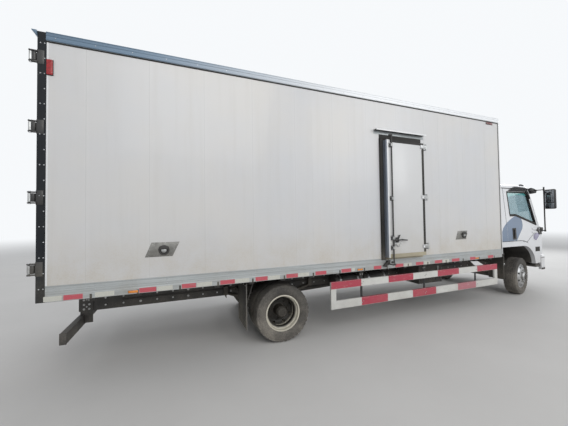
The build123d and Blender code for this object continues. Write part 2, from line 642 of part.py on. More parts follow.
front_plane = {side: wheel_plane(Vector(front_axle_x, side * kingpin_y, axle_z), side, rest_steer)
               for side in (-1, 1)}
knuckle_web = 12
front_disc = front_wheel_offset + disc_offset
front_hub_start = 66
for side in (-1, 1):
    plane = front_plane[side]
    with BuildPart() as knuckle:
        for sign in (-1, 1):
            ear_z0 = axle_z + sign * (eye_half + ear_gap)
            ear_z1 = ear_z0 + sign * knuckle_ear
            upright(plane.origin.X, plane.origin.Y, min(ear_z0, ear_z1), max(ear_z0, ear_z1), eye_radius)
        upright(plane.origin.X, plane.origin.Y, axle_z - eye_half - ear_gap, axle_z + eye_half + ear_gap,
                kingpin_radius)
        with Locations(plane.location * Location((eye_radius + 3 + knuckle_web / 2, 0, 0))):
            Box(knuckle_web, 2 * (eye_half + ear_gap + knuckle_ear), 84)
        for sign in (-1, 1):
            lift = sign * (eye_half + ear_gap + knuckle_ear / 2)
            with Locations(plane.location * Location((30, lift, 0))):
                Box(60, knuckle_ear, 84)
        turned(plane, ((eye_radius + 3, 0), (eye_radius + 3, spindle_radius), (front_disc + 10, spindle_radius),
                       (front_disc + 10, 0)))
        arm_way = Location((10, -(eye_half + ear_gap + knuckle_ear / 2), -side * 120))
        with Locations(plane.location * arm_way):
            Box(40, knuckle_ear, 200)
    knuckle.part.label = f"knuckle_{side_names[side]}"
    export_step(knuckle.part, f"parts/knuckle_{side_names[side]}.step")

    with BuildPart() as tyre:
        turned(plane, tyre_outline(front_wheel_offset))
    tyre.part.label = f"tyre_front_{side_names[side]}"
    export_step(tyre.part, f"parts/tyre_front_{side_names[side]}.step")

    with BuildPart() as rim:
        hub_outline = ((front_hub_start, spindle_radius + fit_gap), (front_hub_start, hub_radius),
                       (front_disc + 20, hub_radius), (front_disc + 50, 60), (front_disc + 50, 0),
                       (front_disc + 10 + leaf_gap, 0), (front_disc + 10 + leaf_gap, spindle_radius + fit_gap))
        turned(plane, rim_outline(front_wheel_offset), disc_outline(front_wheel_offset, 1), hub_outline,
               drum_outline(front_hub_start + 20, front_disc))
        hand_holes(plane, front_disc - 30, 90)
    rim.part.label = f"wheel_front_{side_names[side]}"
    export_step(rim.part, f"parts/wheel_front_{side_names[side]}.step")

    rear_plane = wheel_plane(Vector(rear_axle_x, 0, axle_z), side, 0)
    with BuildPart() as tyre:
        turned(rear_plane, tyre_outline(rear_wheel_y), tyre_outline(rear_wheel_y - twin_spacing))
    tyre.part.label = f"tyres_rear_{side_names[side]}"
    export_step(tyre.part, f"parts/tyres_rear_{side_names[side]}.step")

    with BuildPart() as rim:
        hub_outline = ((rear_hub_inner_y + leaf_gap, spindle_radius + fit_gap),
                       (rear_hub_inner_y + leaf_gap, hub_radius), (rear_wheel_y + 30, hub_radius),
                       (rear_wheel_y + 50, 70), (rear_wheel_y + 50, 0), (rear_wheel_y + 20 + leaf_gap, 0),
                       (rear_wheel_y + 20 + leaf_gap, spindle_radius + fit_gap))
        inner_wheel_y = rear_wheel_y - twin_spacing
        turned(rear_plane, rim_outline(rear_wheel_y), rim_outline(inner_wheel_y), disc_outline(rear_wheel_y, -1),
               disc_outline(inner_wheel_y, 1), hub_outline,
               drum_outline(rear_hub_inner_y + 20, inner_wheel_y + disc_offset))
        hand_holes(rear_plane, twin_middle_y, 180)
    rim.part.label = f"wheels_rear_{side_names[side]}"
    export_step(rim.part, f"parts/wheels_rear_{side_names[side]}.step")

# Cab shell. Each row: height, setback of the front, half width, front corner radius, setback of the rear
cab_low = 680
arch_front_x = front_axle_x + arch_reach
cab_sections = (
    (cab_low, 0, cab_half, cab_corner, 0),
    (cab_front_low, 0, cab_half, cab_corner, 0),
    (cab_belt, 60, cab_half - 5, cab_corner, 0),
    (cab_gutter, 60 + windscreen_lean, cab_roof_half, cab_corner - 40, 0),
    (cab_gutter + 60, 130 + windscreen_lean, cab_roof_half - 40, cab_corner - 50, 20),
    (cab_top, 330 + windscreen_lean, cab_roof_half - 190, cab_corner - 70, 150),
)
rear_corner = 70


def cab_form(inset, bottom_drop=0, top_drop=0):
    sections = []
    for row, (height, front_back, half, corner, rear_in) in enumerate(cab_sections):
        level = height
        if row == 0:
            level = height - bottom_drop
        if row == len(cab_sections) - 1:
            level = height - top_drop
        if row == len(cab_sections) - 2:
            level = height - top_drop / 2
        x0 = cab_rear_x + rear_in + inset
        x1 = cab_front_x - front_back - inset
        with BuildSketch(Plane.XY.offset(level)) as section:
            with Locations(((x0 + x1) / 2, 0)):
                Rectangle(x1 - x0, 2 * (half - inset))
            fillet(section.vertices().group_by(Axis.X)[-1], corner - inset)
            fillet(section.vertices().group_by(Axis.X)[0], rear_corner - inset)
        sections.append(section.sketch)
    loft(sections, ruled=True)


def cab_at(height):
    for low, high in zip(cab_sections, cab_sections[1:]):
        if low[0] <= height <= high[0]:
            share = (height - low[0]) / (high[0] - low[0])
            return [a + share * (b - a) for a, b in zip(low, high)]


with BuildPart() as cab_outer:
    cab_form(0)
with BuildPart() as cab_inner:
    cab_form(cab_wall, 1, cab_wall)

door_bottom = 1225
door_top = 2395
door_rear = 285
door_front = cab_length - 440
door_outline = ((door_rear, door_top), (door_front - 260, door_top), (door_front - 180, 2290),
                (door_front, cab_belt + 30), (door_front - 30, cab_belt - 20), (cab_axle_setback + 150, 1165),
                (cab_axle_setback + 10, door_bottom), (door_rear, door_bottom))
window_outline = ((door_rear + 115, 2330), (door_front - 340, 2330), (door_front - 240, 2240),
                  (door_front - 55, 1580), (door_rear + 355, 1800), (door_rear + 135, 1800))
header_z = door_top + leaf_gap
panel_top = 1545
panel_rear = door_front + 50
cab_axis_x = cab_rear_x + door_front + 6
cab_strap_y = cab_half + leaf_gap
cab_strap_thickness = 6
cab_strap_length = 256
cab_axis_y = cab_strap_y + 4
cab_hinge_heights = (1400, 1480)
cab_knuckle_half = 20
cab_knuckle_radius = 8
cab_pin_radius = 4
cab_ear_thickness = 8


def cab_side_prism(outline, grow, mode):
    with BuildSketch(Plane.XZ) as prism:
        with BuildLine():
            Polyline(*[(cab_rear_x + x, z) for x, z in outline], close=True)
        make_face()
        if grow:
            offset(amount=grow, kind=Kind.INTERSECTION)
    extrude(prism.sketch, amount=cab_half + 200, both=True, mode=mode)


with BuildPart() as cab_roof:
    add(cab_outer.part)
    add(cab_inner.part, mode=Mode.SUBTRACT)
    block(cab_rear_x - 50, cab_front_x + 50, -1200, 1200, header_z, cab_top + 50, Mode.INTERSECT)
cab_roof.part.label = "cab_roof"
export_step(cab_roof.part, "parts/cab_roof.step")

with BuildPart() as cab_back:
    add(cab_outer.part)
    block(cab_rear_x - 50, cab_rear_x + cab_wall, -(cab_half - 90), cab_half - 90, deck_bottom - 250, header_z,
          Mode.INTERSECT)
cab_back.part.label = "cab_back"
export_step(cab_back.part, "parts/cab_back.step")

grille_half = 560
grille_z0 = 960
grille_z1 = 1265
grille_depth = 18
slat_reach = 22
slat_height = 26
slat_pitch = 58
with BuildPart() as cab_front:
    add(cab_outer.part)
    add(cab_inner.part, mode=Mode.SUBTRACT)
    block(cab_rear_x + panel_rear, cab_front_x + 50, -1200, 1200, cab_sill, panel_top, Mode.INTERSECT)
    block(cab_front_x - grille_depth, cab_front_x + 5, -grille_half, grille_half, grille_z0, grille_z1, Mode.SUBTRACT)
    for slat in range(5):
        slat_z = grille_z0 + 22 + slat * slat_pitch
        block(cab_front_x - grille_depth, cab_front_x + slat_reach, -grille_half, grille_half, slat_z,
              slat_z + slat_height)
cab_front.part.label = "cab_front"
export_step(cab_front.part, "parts/cab_front.step")

screen_outline = ((-900, panel_top), (900, panel_top), (850, header_z), (-850, header_z))
with BuildPart() as cab_sides:
    add(cab_outer.part)
    add(cab_inner.part, mode=Mode.SUBTRACT)
    block(cab_rear_x - 50, cab_front_x + 50, -1200, 1200, cab_low - 5, header_z, Mode.INTERSECT)
    block(cab_rear_x - 50, cab_rear_x + cab_wall, -(cab_half - 90), cab_half - 90, cab_low - 50, header_z,
          Mode.SUBTRACT)
    block(cab_rear_x + panel_rear, cab_front_x + 50, -1200, 1200, cab_low - 50, panel_top, Mode.SUBTRACT)
    cab_side_prism(door_outline, leaf_gap, Mode.SUBTRACT)
    with BuildSketch(Plane.YZ.offset(cab_rear_x + 900)):
        with BuildLine():
            Polyline(*screen_outline, close=True)
        make_face()
    extrude(amount=1200, mode=Mode.SUBTRACT)
    with BuildSketch(Plane.XZ):
        with BuildLine():
            arch_line = Line((cab_rear_x - 20, arch_top), (front_axle_x - 30, arch_top))
            arch_bend = ThreePointArc(arch_line @ 1, (front_axle_x + 300, arch_top - 120), (arch_front_x, cab_low))
            Polyline(arch_bend @ 1, (arch_front_x, cab_low - 50), (cab_rear_x - 20, cab_low - 50), arch_line @ 0)
        make_face()
    extrude(amount=cab_half + 200, both=True, mode=Mode.SUBTRACT)
    for side in (-1, 1):
        for height in cab_hinge_heights:
            for sign in (-1, 1):
                ear_z0 = height + sign * (cab_knuckle_half + leaf_gap)
                ear_z1 = ear_z0 + sign * cab_ear_thickness
                side_block(side, cab_axis_x - cab_knuckle_radius, cab_axis_x + cab_knuckle_radius, cab_half - 15,
                           cab_axis_y, ear_z0, ear_z1)
                upright(cab_axis_x, side * cab_axis_y, min(ear_z0, ear_z1), max(ear_z0, ear_z1), cab_knuckle_radius)
            upright(cab_axis_x, side * cab_axis_y, height - cab_knuckle_half - leaf_gap,
                    height + cab_knuckle_half + leaf_gap, cab_pin_radius)
cab_sides.part.label = "cab_sides"
export_step(cab_sides.part, "parts/cab_sides.step")

# Flares over the wheel arches, standing on the sides
flare_width = 85
flare_reach = 28
with BuildPart() as cab_flares:
    with BuildSketch(Plane.XZ):
        with BuildLine():
            flare_low = Line((cab_rear_x, arch_top), (front_axle_x - 30, arch_top))
            flare_in = ThreePointArc(flare_low @ 1, (front_axle_x + 300, arch_top - 120), (arch_front_x, cab_low))
            flare_foot = Line(flare_in @ 1, (arch_front_x + flare_width, cab_low))
            flare_out = ThreePointArc(flare_foot @ 1, (front_axle_x + 360, arch_top - 60),
                                      (front_axle_x - 30, arch_top + flare_width))
            Polyline(flare_out @ 1, (cab_rear_x, arch_top + flare_width), flare_low @ 0)
        make_face()
    extrude(amount=cab_half + flare_reach, both=True)
    block(cab_rear_x - 50, cab_front_x, -(cab_half + soft_gap), cab_half + soft_gap, 500, 1400, Mode.SUBTRACT)
cab_flares.part.label = "cab_flares"
export_step(cab_flares.part, "parts/cab_flares.step")

# Cab floor: foot well in front, raised deck over the engine, and the lugs on the tilt tube
floor_half = cab_half - cab_wall - leaf_gap - 1
foot_z = 1060
floor_front_x = cab_front_x - cab_wall
lug_y = 265
lug_half = 15
lug_radius = 29
with BuildPart() as cab_floor:
    block(cab_rear_x + cab_wall + 25, foot_x, -floor_half, floor_half, deck_bottom, deck_bottom + deck_thickness)
    block(cab_rear_x + cab_wall, cab_rear_x + cab_wall + 25, -(floor_half - 60), floor_half - 60, deck_bottom,
          deck_bottom + deck_thickness)
    block(foot_x - deck_thickness, foot_x, -floor_half, floor_half, foot_z, deck_bottom)
    block(foot_x - deck_thickness, floor_front_x - cab_corner, -floor_half, floor_half, foot_z,
          foot_z + deck_thickness)
    block(floor_front_x - cab_corner, floor_front_x, -(floor_half - cab_corner), floor_half - cab_corner, foot_z,
          foot_z + deck_thickness)
    for side in (-1, 1):
        side_block(side, pivot_x - lug_radius, pivot_x + lug_radius, lug_y - lug_half, lug_y + lug_half,
                   tilt_pivot_z, foot_z)
        cross_bar(pivot_x, tilt_pivot_z, side * (lug_y - lug_half), side * (lug_y + lug_half), lug_radius)
    cross_bar(pivot_x, tilt_pivot_z, -lug_y - 2 * lug_half, lug_y + 2 * lug_half, tilt_tube_radius + fit_gap,
              Mode.SUBTRACT)
cab_floor.part.label = "cab_floor"
export_step(cab_floor.part, "parts/cab_floor.step")

# Glass lies in the middle of the wall
glass_in = 18
glass_out = 24
with BuildPart() as glass_outer:
    cab_form(glass_in)
with BuildPart() as glass_inner:
    cab_form(glass_out, 1)
with BuildPart() as windscreen:
    add(glass_outer.part)
    add(glass_inner.part, mode=Mode.SUBTRACT)
    with BuildSketch(Plane.YZ.offset(cab_rear_x + 900)):
        with BuildLine():
            Polyline(*[(y * (1 - soft_gap / 900), z) for y, z in screen_outline], close=True)
        make_face()
    extrude(amount=1200, mode=Mode.INTERSECT)
windscreen.part.label = "windscreen"
export_step(windscreen.part, "parts/windscreen.step")

# Cab doors with hinge straps on an upright axis at the front edge
for side in (-1, 1):
    with BuildPart() as cab_door:
        add(cab_outer.part)
        add(cab_inner.part, mode=Mode.SUBTRACT)
        side_block(side, cab_rear_x - 50, cab_front_x + 50, 500, 1200, cab_low - 50, cab_top + 50, Mode.INTERSECT)
        cab_side_prism(door_outline, 0, Mode.INTERSECT)
        cab_side_prism(window_outline, 0, Mode.SUBTRACT)
        for height in cab_hinge_heights:
            side_block(side, cab_axis_x - cab_strap_length, cab_axis_x - cab_strap_length + 60, cab_half - 8,
                       cab_strap_y + 1, height - cab_knuckle_half, height + cab_knuckle_half)
            side_block(side, cab_axis_x - cab_strap_length, cab_axis_x, cab_strap_y,
                       cab_strap_y + cab_strap_thickness, height - cab_knuckle_half, height + cab_knuckle_half)
            upright(cab_axis_x, side * cab_axis_y, height - cab_knuckle_half, height + cab_knuckle_half,
                    cab_knuckle_radius)
            upright(cab_axis_x, side * cab_axis_y, height - cab_knuckle_half - 1, height + cab_knuckle_half + 1,
                    cab_pin_radius + fit_gap, Mode.SUBTRACT)
    cab_door.part.label = f"cab_door_{side_names[side]}"
    export_step(cab_door.part, f"parts/cab_door_{side_names[side]}.step")
    with BuildPart() as door_glass:
        add(glass_outer.part)
        add(glass_inner.part, mode=Mode.SUBTRACT)
        side_block(side, cab_rear_x - 50, cab_front_x + 50, 500, 1200, cab_low - 50, cab_top + 50, Mode.INTERSECT)
        cab_side_prism(window_outline, -soft_gap, Mode.INTERSECT)
    door_glass.part.label = f"cab_door_glass_{side_names[side]}"
    export_step(door_glass.part, f"parts/cab_door_glass_{side_names[side]}.step")

# Dashboard, steering wheel, seats
dash_outline = ((-510, 1240), (-370, 1240), (-180, 1300), (-180, 1500), (-370, 1540), (-470, 1500))
with BuildPart() as dash_room:
    cab_form(cab_wall + soft_gap)
with BuildPart() as dashboard:
    with BuildSketch(Plane.XZ):
        with BuildLine():
            Polyline(*[(cab_front_x + x, z) for x, z in dash_outline], close=True)
        make_face()
    extrude(amount=floor_half - 100, both=True)
    add(dash_room.part, mode=Mode.INTERSECT)
    block(cab_front_x - 370, cab_front_x - 180, -600, 600, foot_z + deck_thickness, 1320)
dashboard.part.label = "dashboard"
export_step(dashboard.part, "parts/dashboard.step")

wheel_centre = (cab_front_x - 700, 470, 1640)
wheel_axis = (-0.5, 0, 0.866)
with BuildPart() as steering_wheel:
    wheel_seat = Plane(origin=wheel_centre, z_dir=wheel_axis)
    with Locations(wheel_seat):
        Torus(205, 15)
        Cylinder(45, 40)
        for turn in (0, 120, 240):
            with Locations(Location((0, 0, 0), (0, 0, turn + 90)) * Location((105, 0, 0))):
                Box(200, 26, 14)
    with BuildSketch(wheel_seat):
        Circle(24)
    extrude(amount=-420)
    add(dashboard.part, mode=Mode.SUBTRACT)
steering_wheel.part.label = "steering_wheel"
export_step(steering_wheel.part, "parts/steering_wheel.step")

seat_base_z = deck_bottom + deck_thickness + soft_gap
seat_places = ((470, 250), (-480, 440))
with BuildPart() as seats:
    for seat_y, seat_half in seat_places:
        block(cab_rear_x + 470, cab_rear_x + 1000, seat_y - seat_half, seat_y + seat_half, seat_base_z,
              seat_base_z + 170)
        block(cab_rear_x + 300, cab_rear_x + 470, seat_y - seat_half, seat_y + seat_half, seat_base_z,
              seat_base_z + 720)
seats.part.label = "seats"
export_step(seats.part, "parts/seats.step")

# Sun visor across the top of the windscreen
visor_reach = 150
visor_z = 2370
visor_thickness = 26
visor_spread = 40
_, visor_back, visor_half, visor_corner, _ = cab_at(visor_z)
with BuildPart() as sun_visor:
    for reach, spread, mode in ((visor_reach, visor_spread, Mode.ADD), (soft_gap, soft_gap, Mode.SUBTRACT)):
        with BuildSketch(Plane.XY.offset(visor_z)) as visor_plan:
            with Locations((cab_front_x - visor_back + reach - 500, 0)):
                Rectangle(1000, 2 * (visor_half + spread))
            fillet(visor_plan.vertices().group_by(Axis.X)[-1], visor_corner)
        extrude(amount=visor_thickness, mode=mode)
    block(cab_front_x - 2000, cab_front_x - 640, -1200, 1200, 2000, 2600, Mode.SUBTRACT)
sun_visor.part.label = "sun_visor"
export_step(sun_visor.part, "parts/sun_visor.step")

# Door mirrors on tubular arms at the front corners
mirror_y0 = 1150
mirror_y1 = 1350
arm_x = cab_front_x - 400
post_radius = 13
arm_radius = 10
arm_low_z = 1430
arm_high_z = visor_z + visor_thickness / 2
bend_in = arm_x + 30 - arm_radius - (cab_front_x - visor_back + visor_reach - visor_corner)
visor_side_y = visor_half + visor_spread - visor_corner + math.sqrt(visor_corner ** 2 - bend_in ** 2)
with BuildPart() as arm_cut:
    cab_form(-soft_gap)
with BuildPart() as mirrors:
    for side in (-1, 1):
        side_block(side, arm_x - 10, arm_x + 70, mirror_y0, mirror_y1, 1930, 2380)
        upright(arm_x + 30, side * (mirror_y0 - 14), arm_low_z - 20, 2440, post_radius)
        cross_bar(arm_x + 30, arm_low_z, side * (cab_at(arm_low_z)[2] - 60), side * (mirror_y0 - 14),
                  arm_radius)
        cross_bar(arm_x + 30, arm_high_z, side * (visor_side_y + soft_gap), side * (mirror_y0 - 14), arm_radius)
        side_block(side, arm_x + 10, arm_x + 50, mirror_y0 - 20, mirror_y0, 2080, 2110)
    add(arm_cut.part, mode=Mode.SUBTRACT)
mirrors.part.label = "mirrors"
export_step(mirrors.part, "parts/mirrors.step")
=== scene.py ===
import json
import math
import bmesh
import bpy
from mathutils import Matrix, Vector


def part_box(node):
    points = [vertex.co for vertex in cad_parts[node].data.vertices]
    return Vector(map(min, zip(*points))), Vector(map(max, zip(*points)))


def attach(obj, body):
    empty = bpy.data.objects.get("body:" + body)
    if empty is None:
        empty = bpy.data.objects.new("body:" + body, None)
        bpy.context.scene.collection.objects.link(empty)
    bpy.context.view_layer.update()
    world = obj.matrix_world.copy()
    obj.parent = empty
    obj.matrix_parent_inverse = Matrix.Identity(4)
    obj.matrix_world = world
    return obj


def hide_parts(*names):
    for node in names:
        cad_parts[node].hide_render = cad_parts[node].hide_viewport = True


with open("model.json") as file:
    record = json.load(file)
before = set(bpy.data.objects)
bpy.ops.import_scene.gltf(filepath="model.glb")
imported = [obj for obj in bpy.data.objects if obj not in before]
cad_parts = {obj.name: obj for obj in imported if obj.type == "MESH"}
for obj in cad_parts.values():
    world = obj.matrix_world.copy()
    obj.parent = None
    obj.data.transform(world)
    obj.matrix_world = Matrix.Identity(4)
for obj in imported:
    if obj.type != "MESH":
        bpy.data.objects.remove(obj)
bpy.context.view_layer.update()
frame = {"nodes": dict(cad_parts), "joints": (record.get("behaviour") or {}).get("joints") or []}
nodes = frame["nodes"]
print("frame loaded:", len(nodes), "CAD nodes")


# node helpers: a socket is linked, anything else is set on the input itself
def fill(tree, node, values):
    for label, value in values.items():
        socket = node.inputs[label]
        if isinstance(value, bpy.types.NodeSocket):
            tree.links.new(value, socket)
        elif socket.type == "RGBA" and len(value) == 3:
            socket.default_value = (*value, 1)
        else:
            socket.default_value = value
    return node


def addNode(tree, kind, sockets=None, **settings):
    node = tree.nodes.new("ShaderNode" + kind)
    for label, value in settings.items():
        setattr(node, label, value)
    return fill(tree, node, sockets or {})


def mathNode(tree, operation, a, b=0.0):
    return addNode(tree, "Math", {0: a, 1: b}, operation=operation).outputs[0]


def rampNode(tree, value, low, high, toLow=0.0, toHigh=1.0):
    ends = {"Value": value, "From Min": low, "From Max": high, "To Min": toLow, "To Max": toHigh}
    return addNode(tree, "MapRange", ends, interpolation_type="SMOOTHSTEP").outputs["Result"]


def mixColor(tree, factor, a, b, blend="MIX"):
    return addNode(tree, "Mix", {0: factor, 6: a, 7: b}, data_type="RGBA", blend_type=blend).outputs[2]


def objectPoint(tree):
    return addNode(tree, "TexCoord").outputs["Object"]


def objectAxis(tree, axis):
    return addNode(tree, "SeparateXYZ", {0: objectPoint(tree)}).outputs[axis]


def noiseNode(tree, point, scale, detail=4.0, rough=0.55):
    sockets = {"Vector": point, "Scale": scale, "Detail": detail, "Roughness": rough}
    return addNode(tree, "TexNoise", sockets).outputs["Fac"]


def stretched(tree, point, scale):
    return addNode(tree, "Mapping", {"Vector": point, "Scale": scale}).outputs["Vector"]


def addObject(name, data):
    added = bpy.data.objects.new(name, data)
    bpy.context.scene.collection.objects.link(added)
    return added


# camera, light and floor
cameraView = {"place": (-3.468, -4.769, 1.7685), "yaw": 0.3745, "pitch": 0.0248, "roll": -0.0142,
    "focalPixels": 270, "pictureWidth": 568, "sensor": 36, "clipEnd": 200}


def makeCamera(view):
    yaw, pitch, roll = view["yaw"], view["pitch"], view["roll"]
    ahead = Vector((math.sin(yaw) * math.cos(pitch), math.cos(yaw) * math.cos(pitch), math.sin(pitch)))
    right = Vector((math.cos(yaw), -math.sin(yaw), 0))
    up = right.cross(ahead)
    right, up = right * math.cos(roll) + up * math.sin(roll), up * math.cos(roll) - right * math.sin(roll)
    turn = Matrix((right, up, -ahead)).transposed().to_4x4()
    data = bpy.data.cameras.new("camera")
    data.sensor_width = view["sensor"]
    data.lens = view["focalPixels"] / view["pictureWidth"] * view["sensor"]
    data.clip_end = view["clipEnd"]
    camera = addObject("camera", data)
    camera.matrix_world = Matrix.Translation(view["place"]) @ turn
    bpy.context.scene.camera = camera


makeCamera(cameraView)
bpy.context.scene.view_settings.view_transform = "Standard"

# lamps as (name, place, power, size, colour)
studio = {"skyStrength": 0.54, "skyColor": (0.93, 0.96, 1.0), "floorColor": (0.6, 0.59, 0.575),
    "floorSize": 600, "background": (0.93, 0.95, 0.97), "fade": (9, 42), "aim": (0, 0, 1.5),
    "lamps": (("keyLamp", (-2, -12.5, 9), 600, 8, (1.0, 0.98, 0.95)),
    ("sideLamp", (9, -14, 8), 460, 7, (0.98, 0.99, 1.0)), ("frontLamp", (13, 4, 7), 520, 6,
    (0.96, 0.98, 1.0)), ("backLamp", (-2, 13, 9), 620, 8, (0.97, 0.98, 1.0)))}


def makeStudio(values):
    world = bpy.data.worlds.new("studioWorld")
    bpy.context.scene.world = world
    world.use_nodes = True
    tree = world.node_tree
    light = tree.nodes["Background"]
    fill(tree, light, {"Color": values["skyColor"], "Strength": values["skyStrength"]})
    seen = addNode(tree, "Background", {"Color": values["background"]})
    path = addNode(tree, "LightPath").outputs
    direct = mathNode(tree, "MAXIMUM", path["Is Camera Ray"], path["Is Glossy Ray"])
    direct = mathNode(tree, "MAXIMUM", direct, path["Is Transmission Ray"])
    mix = addNode(tree, "MixShader", {0: direct, 1: light.outputs[0], 2: seen.outputs[0]})
    tree.links.new(mix.outputs[0], tree.nodes["World Output"].inputs["Surface"])
    for name, place, power, size, color in values["lamps"]:
        data = bpy.data.lights.new(name, "AREA")
        data.energy, data.size, data.color = power, size, color
        lamp = addObject(name, data)
        lamp.location = place
        lamp.rotation_euler = (Vector(values["aim"]) - Vector(place)).to_track_quat("-Z", "Y").to_euler()


makeStudio(studio)
print("camera and studio ready")


# node groups: inputs as {name: value}, outputs as {name: kind}
def newGroup(name, inputs, outputs):
    group = bpy.data.node_groups.new(name, "ShaderNodeTree")
    for label, value in inputs.items():
        kind = "NodeSocketColor" if isinstance(value, tuple) else "NodeSocketFloat"
        group.interface.new_socket(label, in_out="INPUT", socket_type=kind).default_value = value
    for label, kind in outputs.items():
        group.interface.new_socket(label, in_out="OUTPUT", socket_type="NodeSocket" + kind)
    return group, group.nodes.new("NodeGroupInput").outputs, group.nodes.new("NodeGroupOutput")


# road dust: thick low down, thin above, broken up by noise
def makeRoadDust():
    group, given, end = newGroup("roadDust", {"Color": (0.5, 0.5, 0.5, 1),
        "Dust Color": (0.3, 0.27, 0.22, 1), "Roughness": 0.4, "Low": 0.2, "High": 1.2, "Amount": 0.5,
        "Everywhere": 0.06}, {"Color": "Color", "Roughness": "Float", "Mask": "Float"})
    point = objectPoint(group)
    height = addNode(group, "SeparateXYZ", {0: point}).outputs["Z"]
    fall = rampNode(group, height, given["Low"], given["High"], given["Amount"], 0.0)
    blotches = rampNode(group, noiseNode(group, point, 3.2, 6, 0.62), 0.3, 0.72, 0.35, 1.25)
    specks = rampNode(group, noiseNode(group, point, 60, 3, 0.6), 0.38, 0.7, 0.75, 1.2)
    mask = mathNode(group, "MULTIPLY", mathNode(group, "ADD", fall, given["Everywhere"]), blotches)
    mask = addNode(group, "Math", {0: mask, 1: specks}, operation="MULTIPLY", use_clamp=True).outputs[0]
    rough = addNode(group, "MapRange", {"Value": mask, "To Min": given["Roughness"], "To Max": 0.92})
    fill(group, end, {"Color": mixColor(group, mask, given["Color"], given["Dust Color"]),
        "Roughness": rough.outputs["Result"], "Mask": mask})
    return group


# bare edges: where the rounded normal leaves the true one
def makeEdgeWear():
    group, given, end = newGroup("edgeWear", {"Radius": 0.004, "Amount": 0.6, "Scale": 40.0},
        {"Mask": "Float"})
    rounded = addNode(group, "Bevel", {"Radius": given["Radius"]}, samples=4)
    true = addNode(group, "NewGeometry")
    likeness = addNode(group, "VectorMath", {0: rounded.outputs[0], 1: true.outputs["True Normal"]},
        operation="DOT_PRODUCT").outputs["Value"]
    edge = rampNode(group, mathNode(group, "ABSOLUTE", likeness), 0.97, 0.8, 0.0, 1.0)
    breakup = addNode(group, "TexNoise", {"Vector": objectPoint(group), "Scale": given["Scale"],
        "Detail": 5.0})
    breakup = rampNode(group, breakup.outputs["Fac"], 0.4, 0.62)
    fill(group, end, {"Mask": mathNode(group, "MULTIPLY", mathNode(group, "MULTIPLY", edge, breakup),
        given["Amount"])})
    return group


# fine surface texture, as a normal
def makeFineGrain():
    group, given, end = newGroup("fineGrain", {"Scale": 300.0, "Depth": 0.2, "Waviness": 0.1},
        {"Normal": "Vector"})
    point = objectPoint(group)
    fine = addNode(group, "TexNoise", {"Vector": point, "Scale": given["Scale"],
        "Detail": 3.0}).outputs["Fac"]
    wide = noiseNode(group, point, 1.7, 2)
    first = addNode(group, "Bump", {"Height": wide, "Strength": given["Waviness"], "Distance": 0.02})
    second = addNode(group, "Bump", {"Height": fine, "Strength": given["Depth"], "Distance": 0.001,
        "Normal": first.outputs["Normal"]})
    fill(group, end, {"Normal": second.outputs["Normal"]})
    return group


roadDust, edgeWear, fineGrain = makeRoadDust(), makeEdgeWear(), makeFineGrain()


def placeGroup(tree, group, values):
    return fill(tree, addNode(tree, "Group", node_tree=group), values)


# material helpers
def newMaterial(name):
    material = bpy.data.materials.new(name)
    material.use_nodes = True
    return material, material.node_tree, material.node_tree.nodes["Principled BSDF"]


def dustOver(tree, shader, base, rough, dust, dustColor=(0.3, 0.27, 0.22)):
    low, high, amount, everywhere = dust
    dusty = placeGroup(tree, roadDust, {"Color": base, "Dust Color": dustColor, "Roughness": rough,
        "Low": low, "High": high, "Amount": amount, "Everywhere": everywhere}).outputs
    fill(tree, shader, {"Base Color": dusty["Color"], "Roughness": dusty["Roughness"]})


# lays a second tone over a finish, where the mask says
def layOver(material, mask, tone):
    tree = material.node_tree
    color = tree.nodes["Principled BSDF"].inputs["Base Color"]
    tree.links.new(mixColor(tree, mask, color.links[0].from_socket, tone), color)


# a painted, moulded or metal finish: colour variation, dust, worn edges and grain
def makeFinish(name, color, rough, dust=(0.2, 1.2, 0.3, 0.05), vary=0.06, varyScale=2.0, metal=0.0,
        coat=0.0, dustColor=(0.3, 0.27, 0.22), grain=(300.0, 0.15, 0.05), wear=None, stretch=(1, 1, 1),
        specular=0.5):
    material, tree, shader = newMaterial(name)
    tone = noiseNode(tree, stretched(tree, objectPoint(tree), stretch), varyScale, 5, 0.6)
    low, high = (tuple(min(1.0, c * share) for c in color) for share in (1 - vary, 1 + vary))
    base = mixColor(tree, rampNode(tree, tone, 0.3, 0.7), low, high)
    if wear:
        mask = placeGroup(tree, edgeWear, {"Radius": wear[0], "Amount": wear[1],
            "Scale": 45.0}).outputs["Mask"]
        base = mixColor(tree, mask, base, wear[2])
    dustOver(tree, shader, base, rough, dust, dustColor)
    fine = placeGroup(tree, fineGrain, {"Scale": grain[0], "Depth": grain[1], "Waviness": grain[2]})
    fill(tree, shader, {"Normal": fine.outputs["Normal"], "Metallic": metal, "Coat Weight": coat,
        "Coat Roughness": 0.08, "Specular IOR Level": specular})
    return material


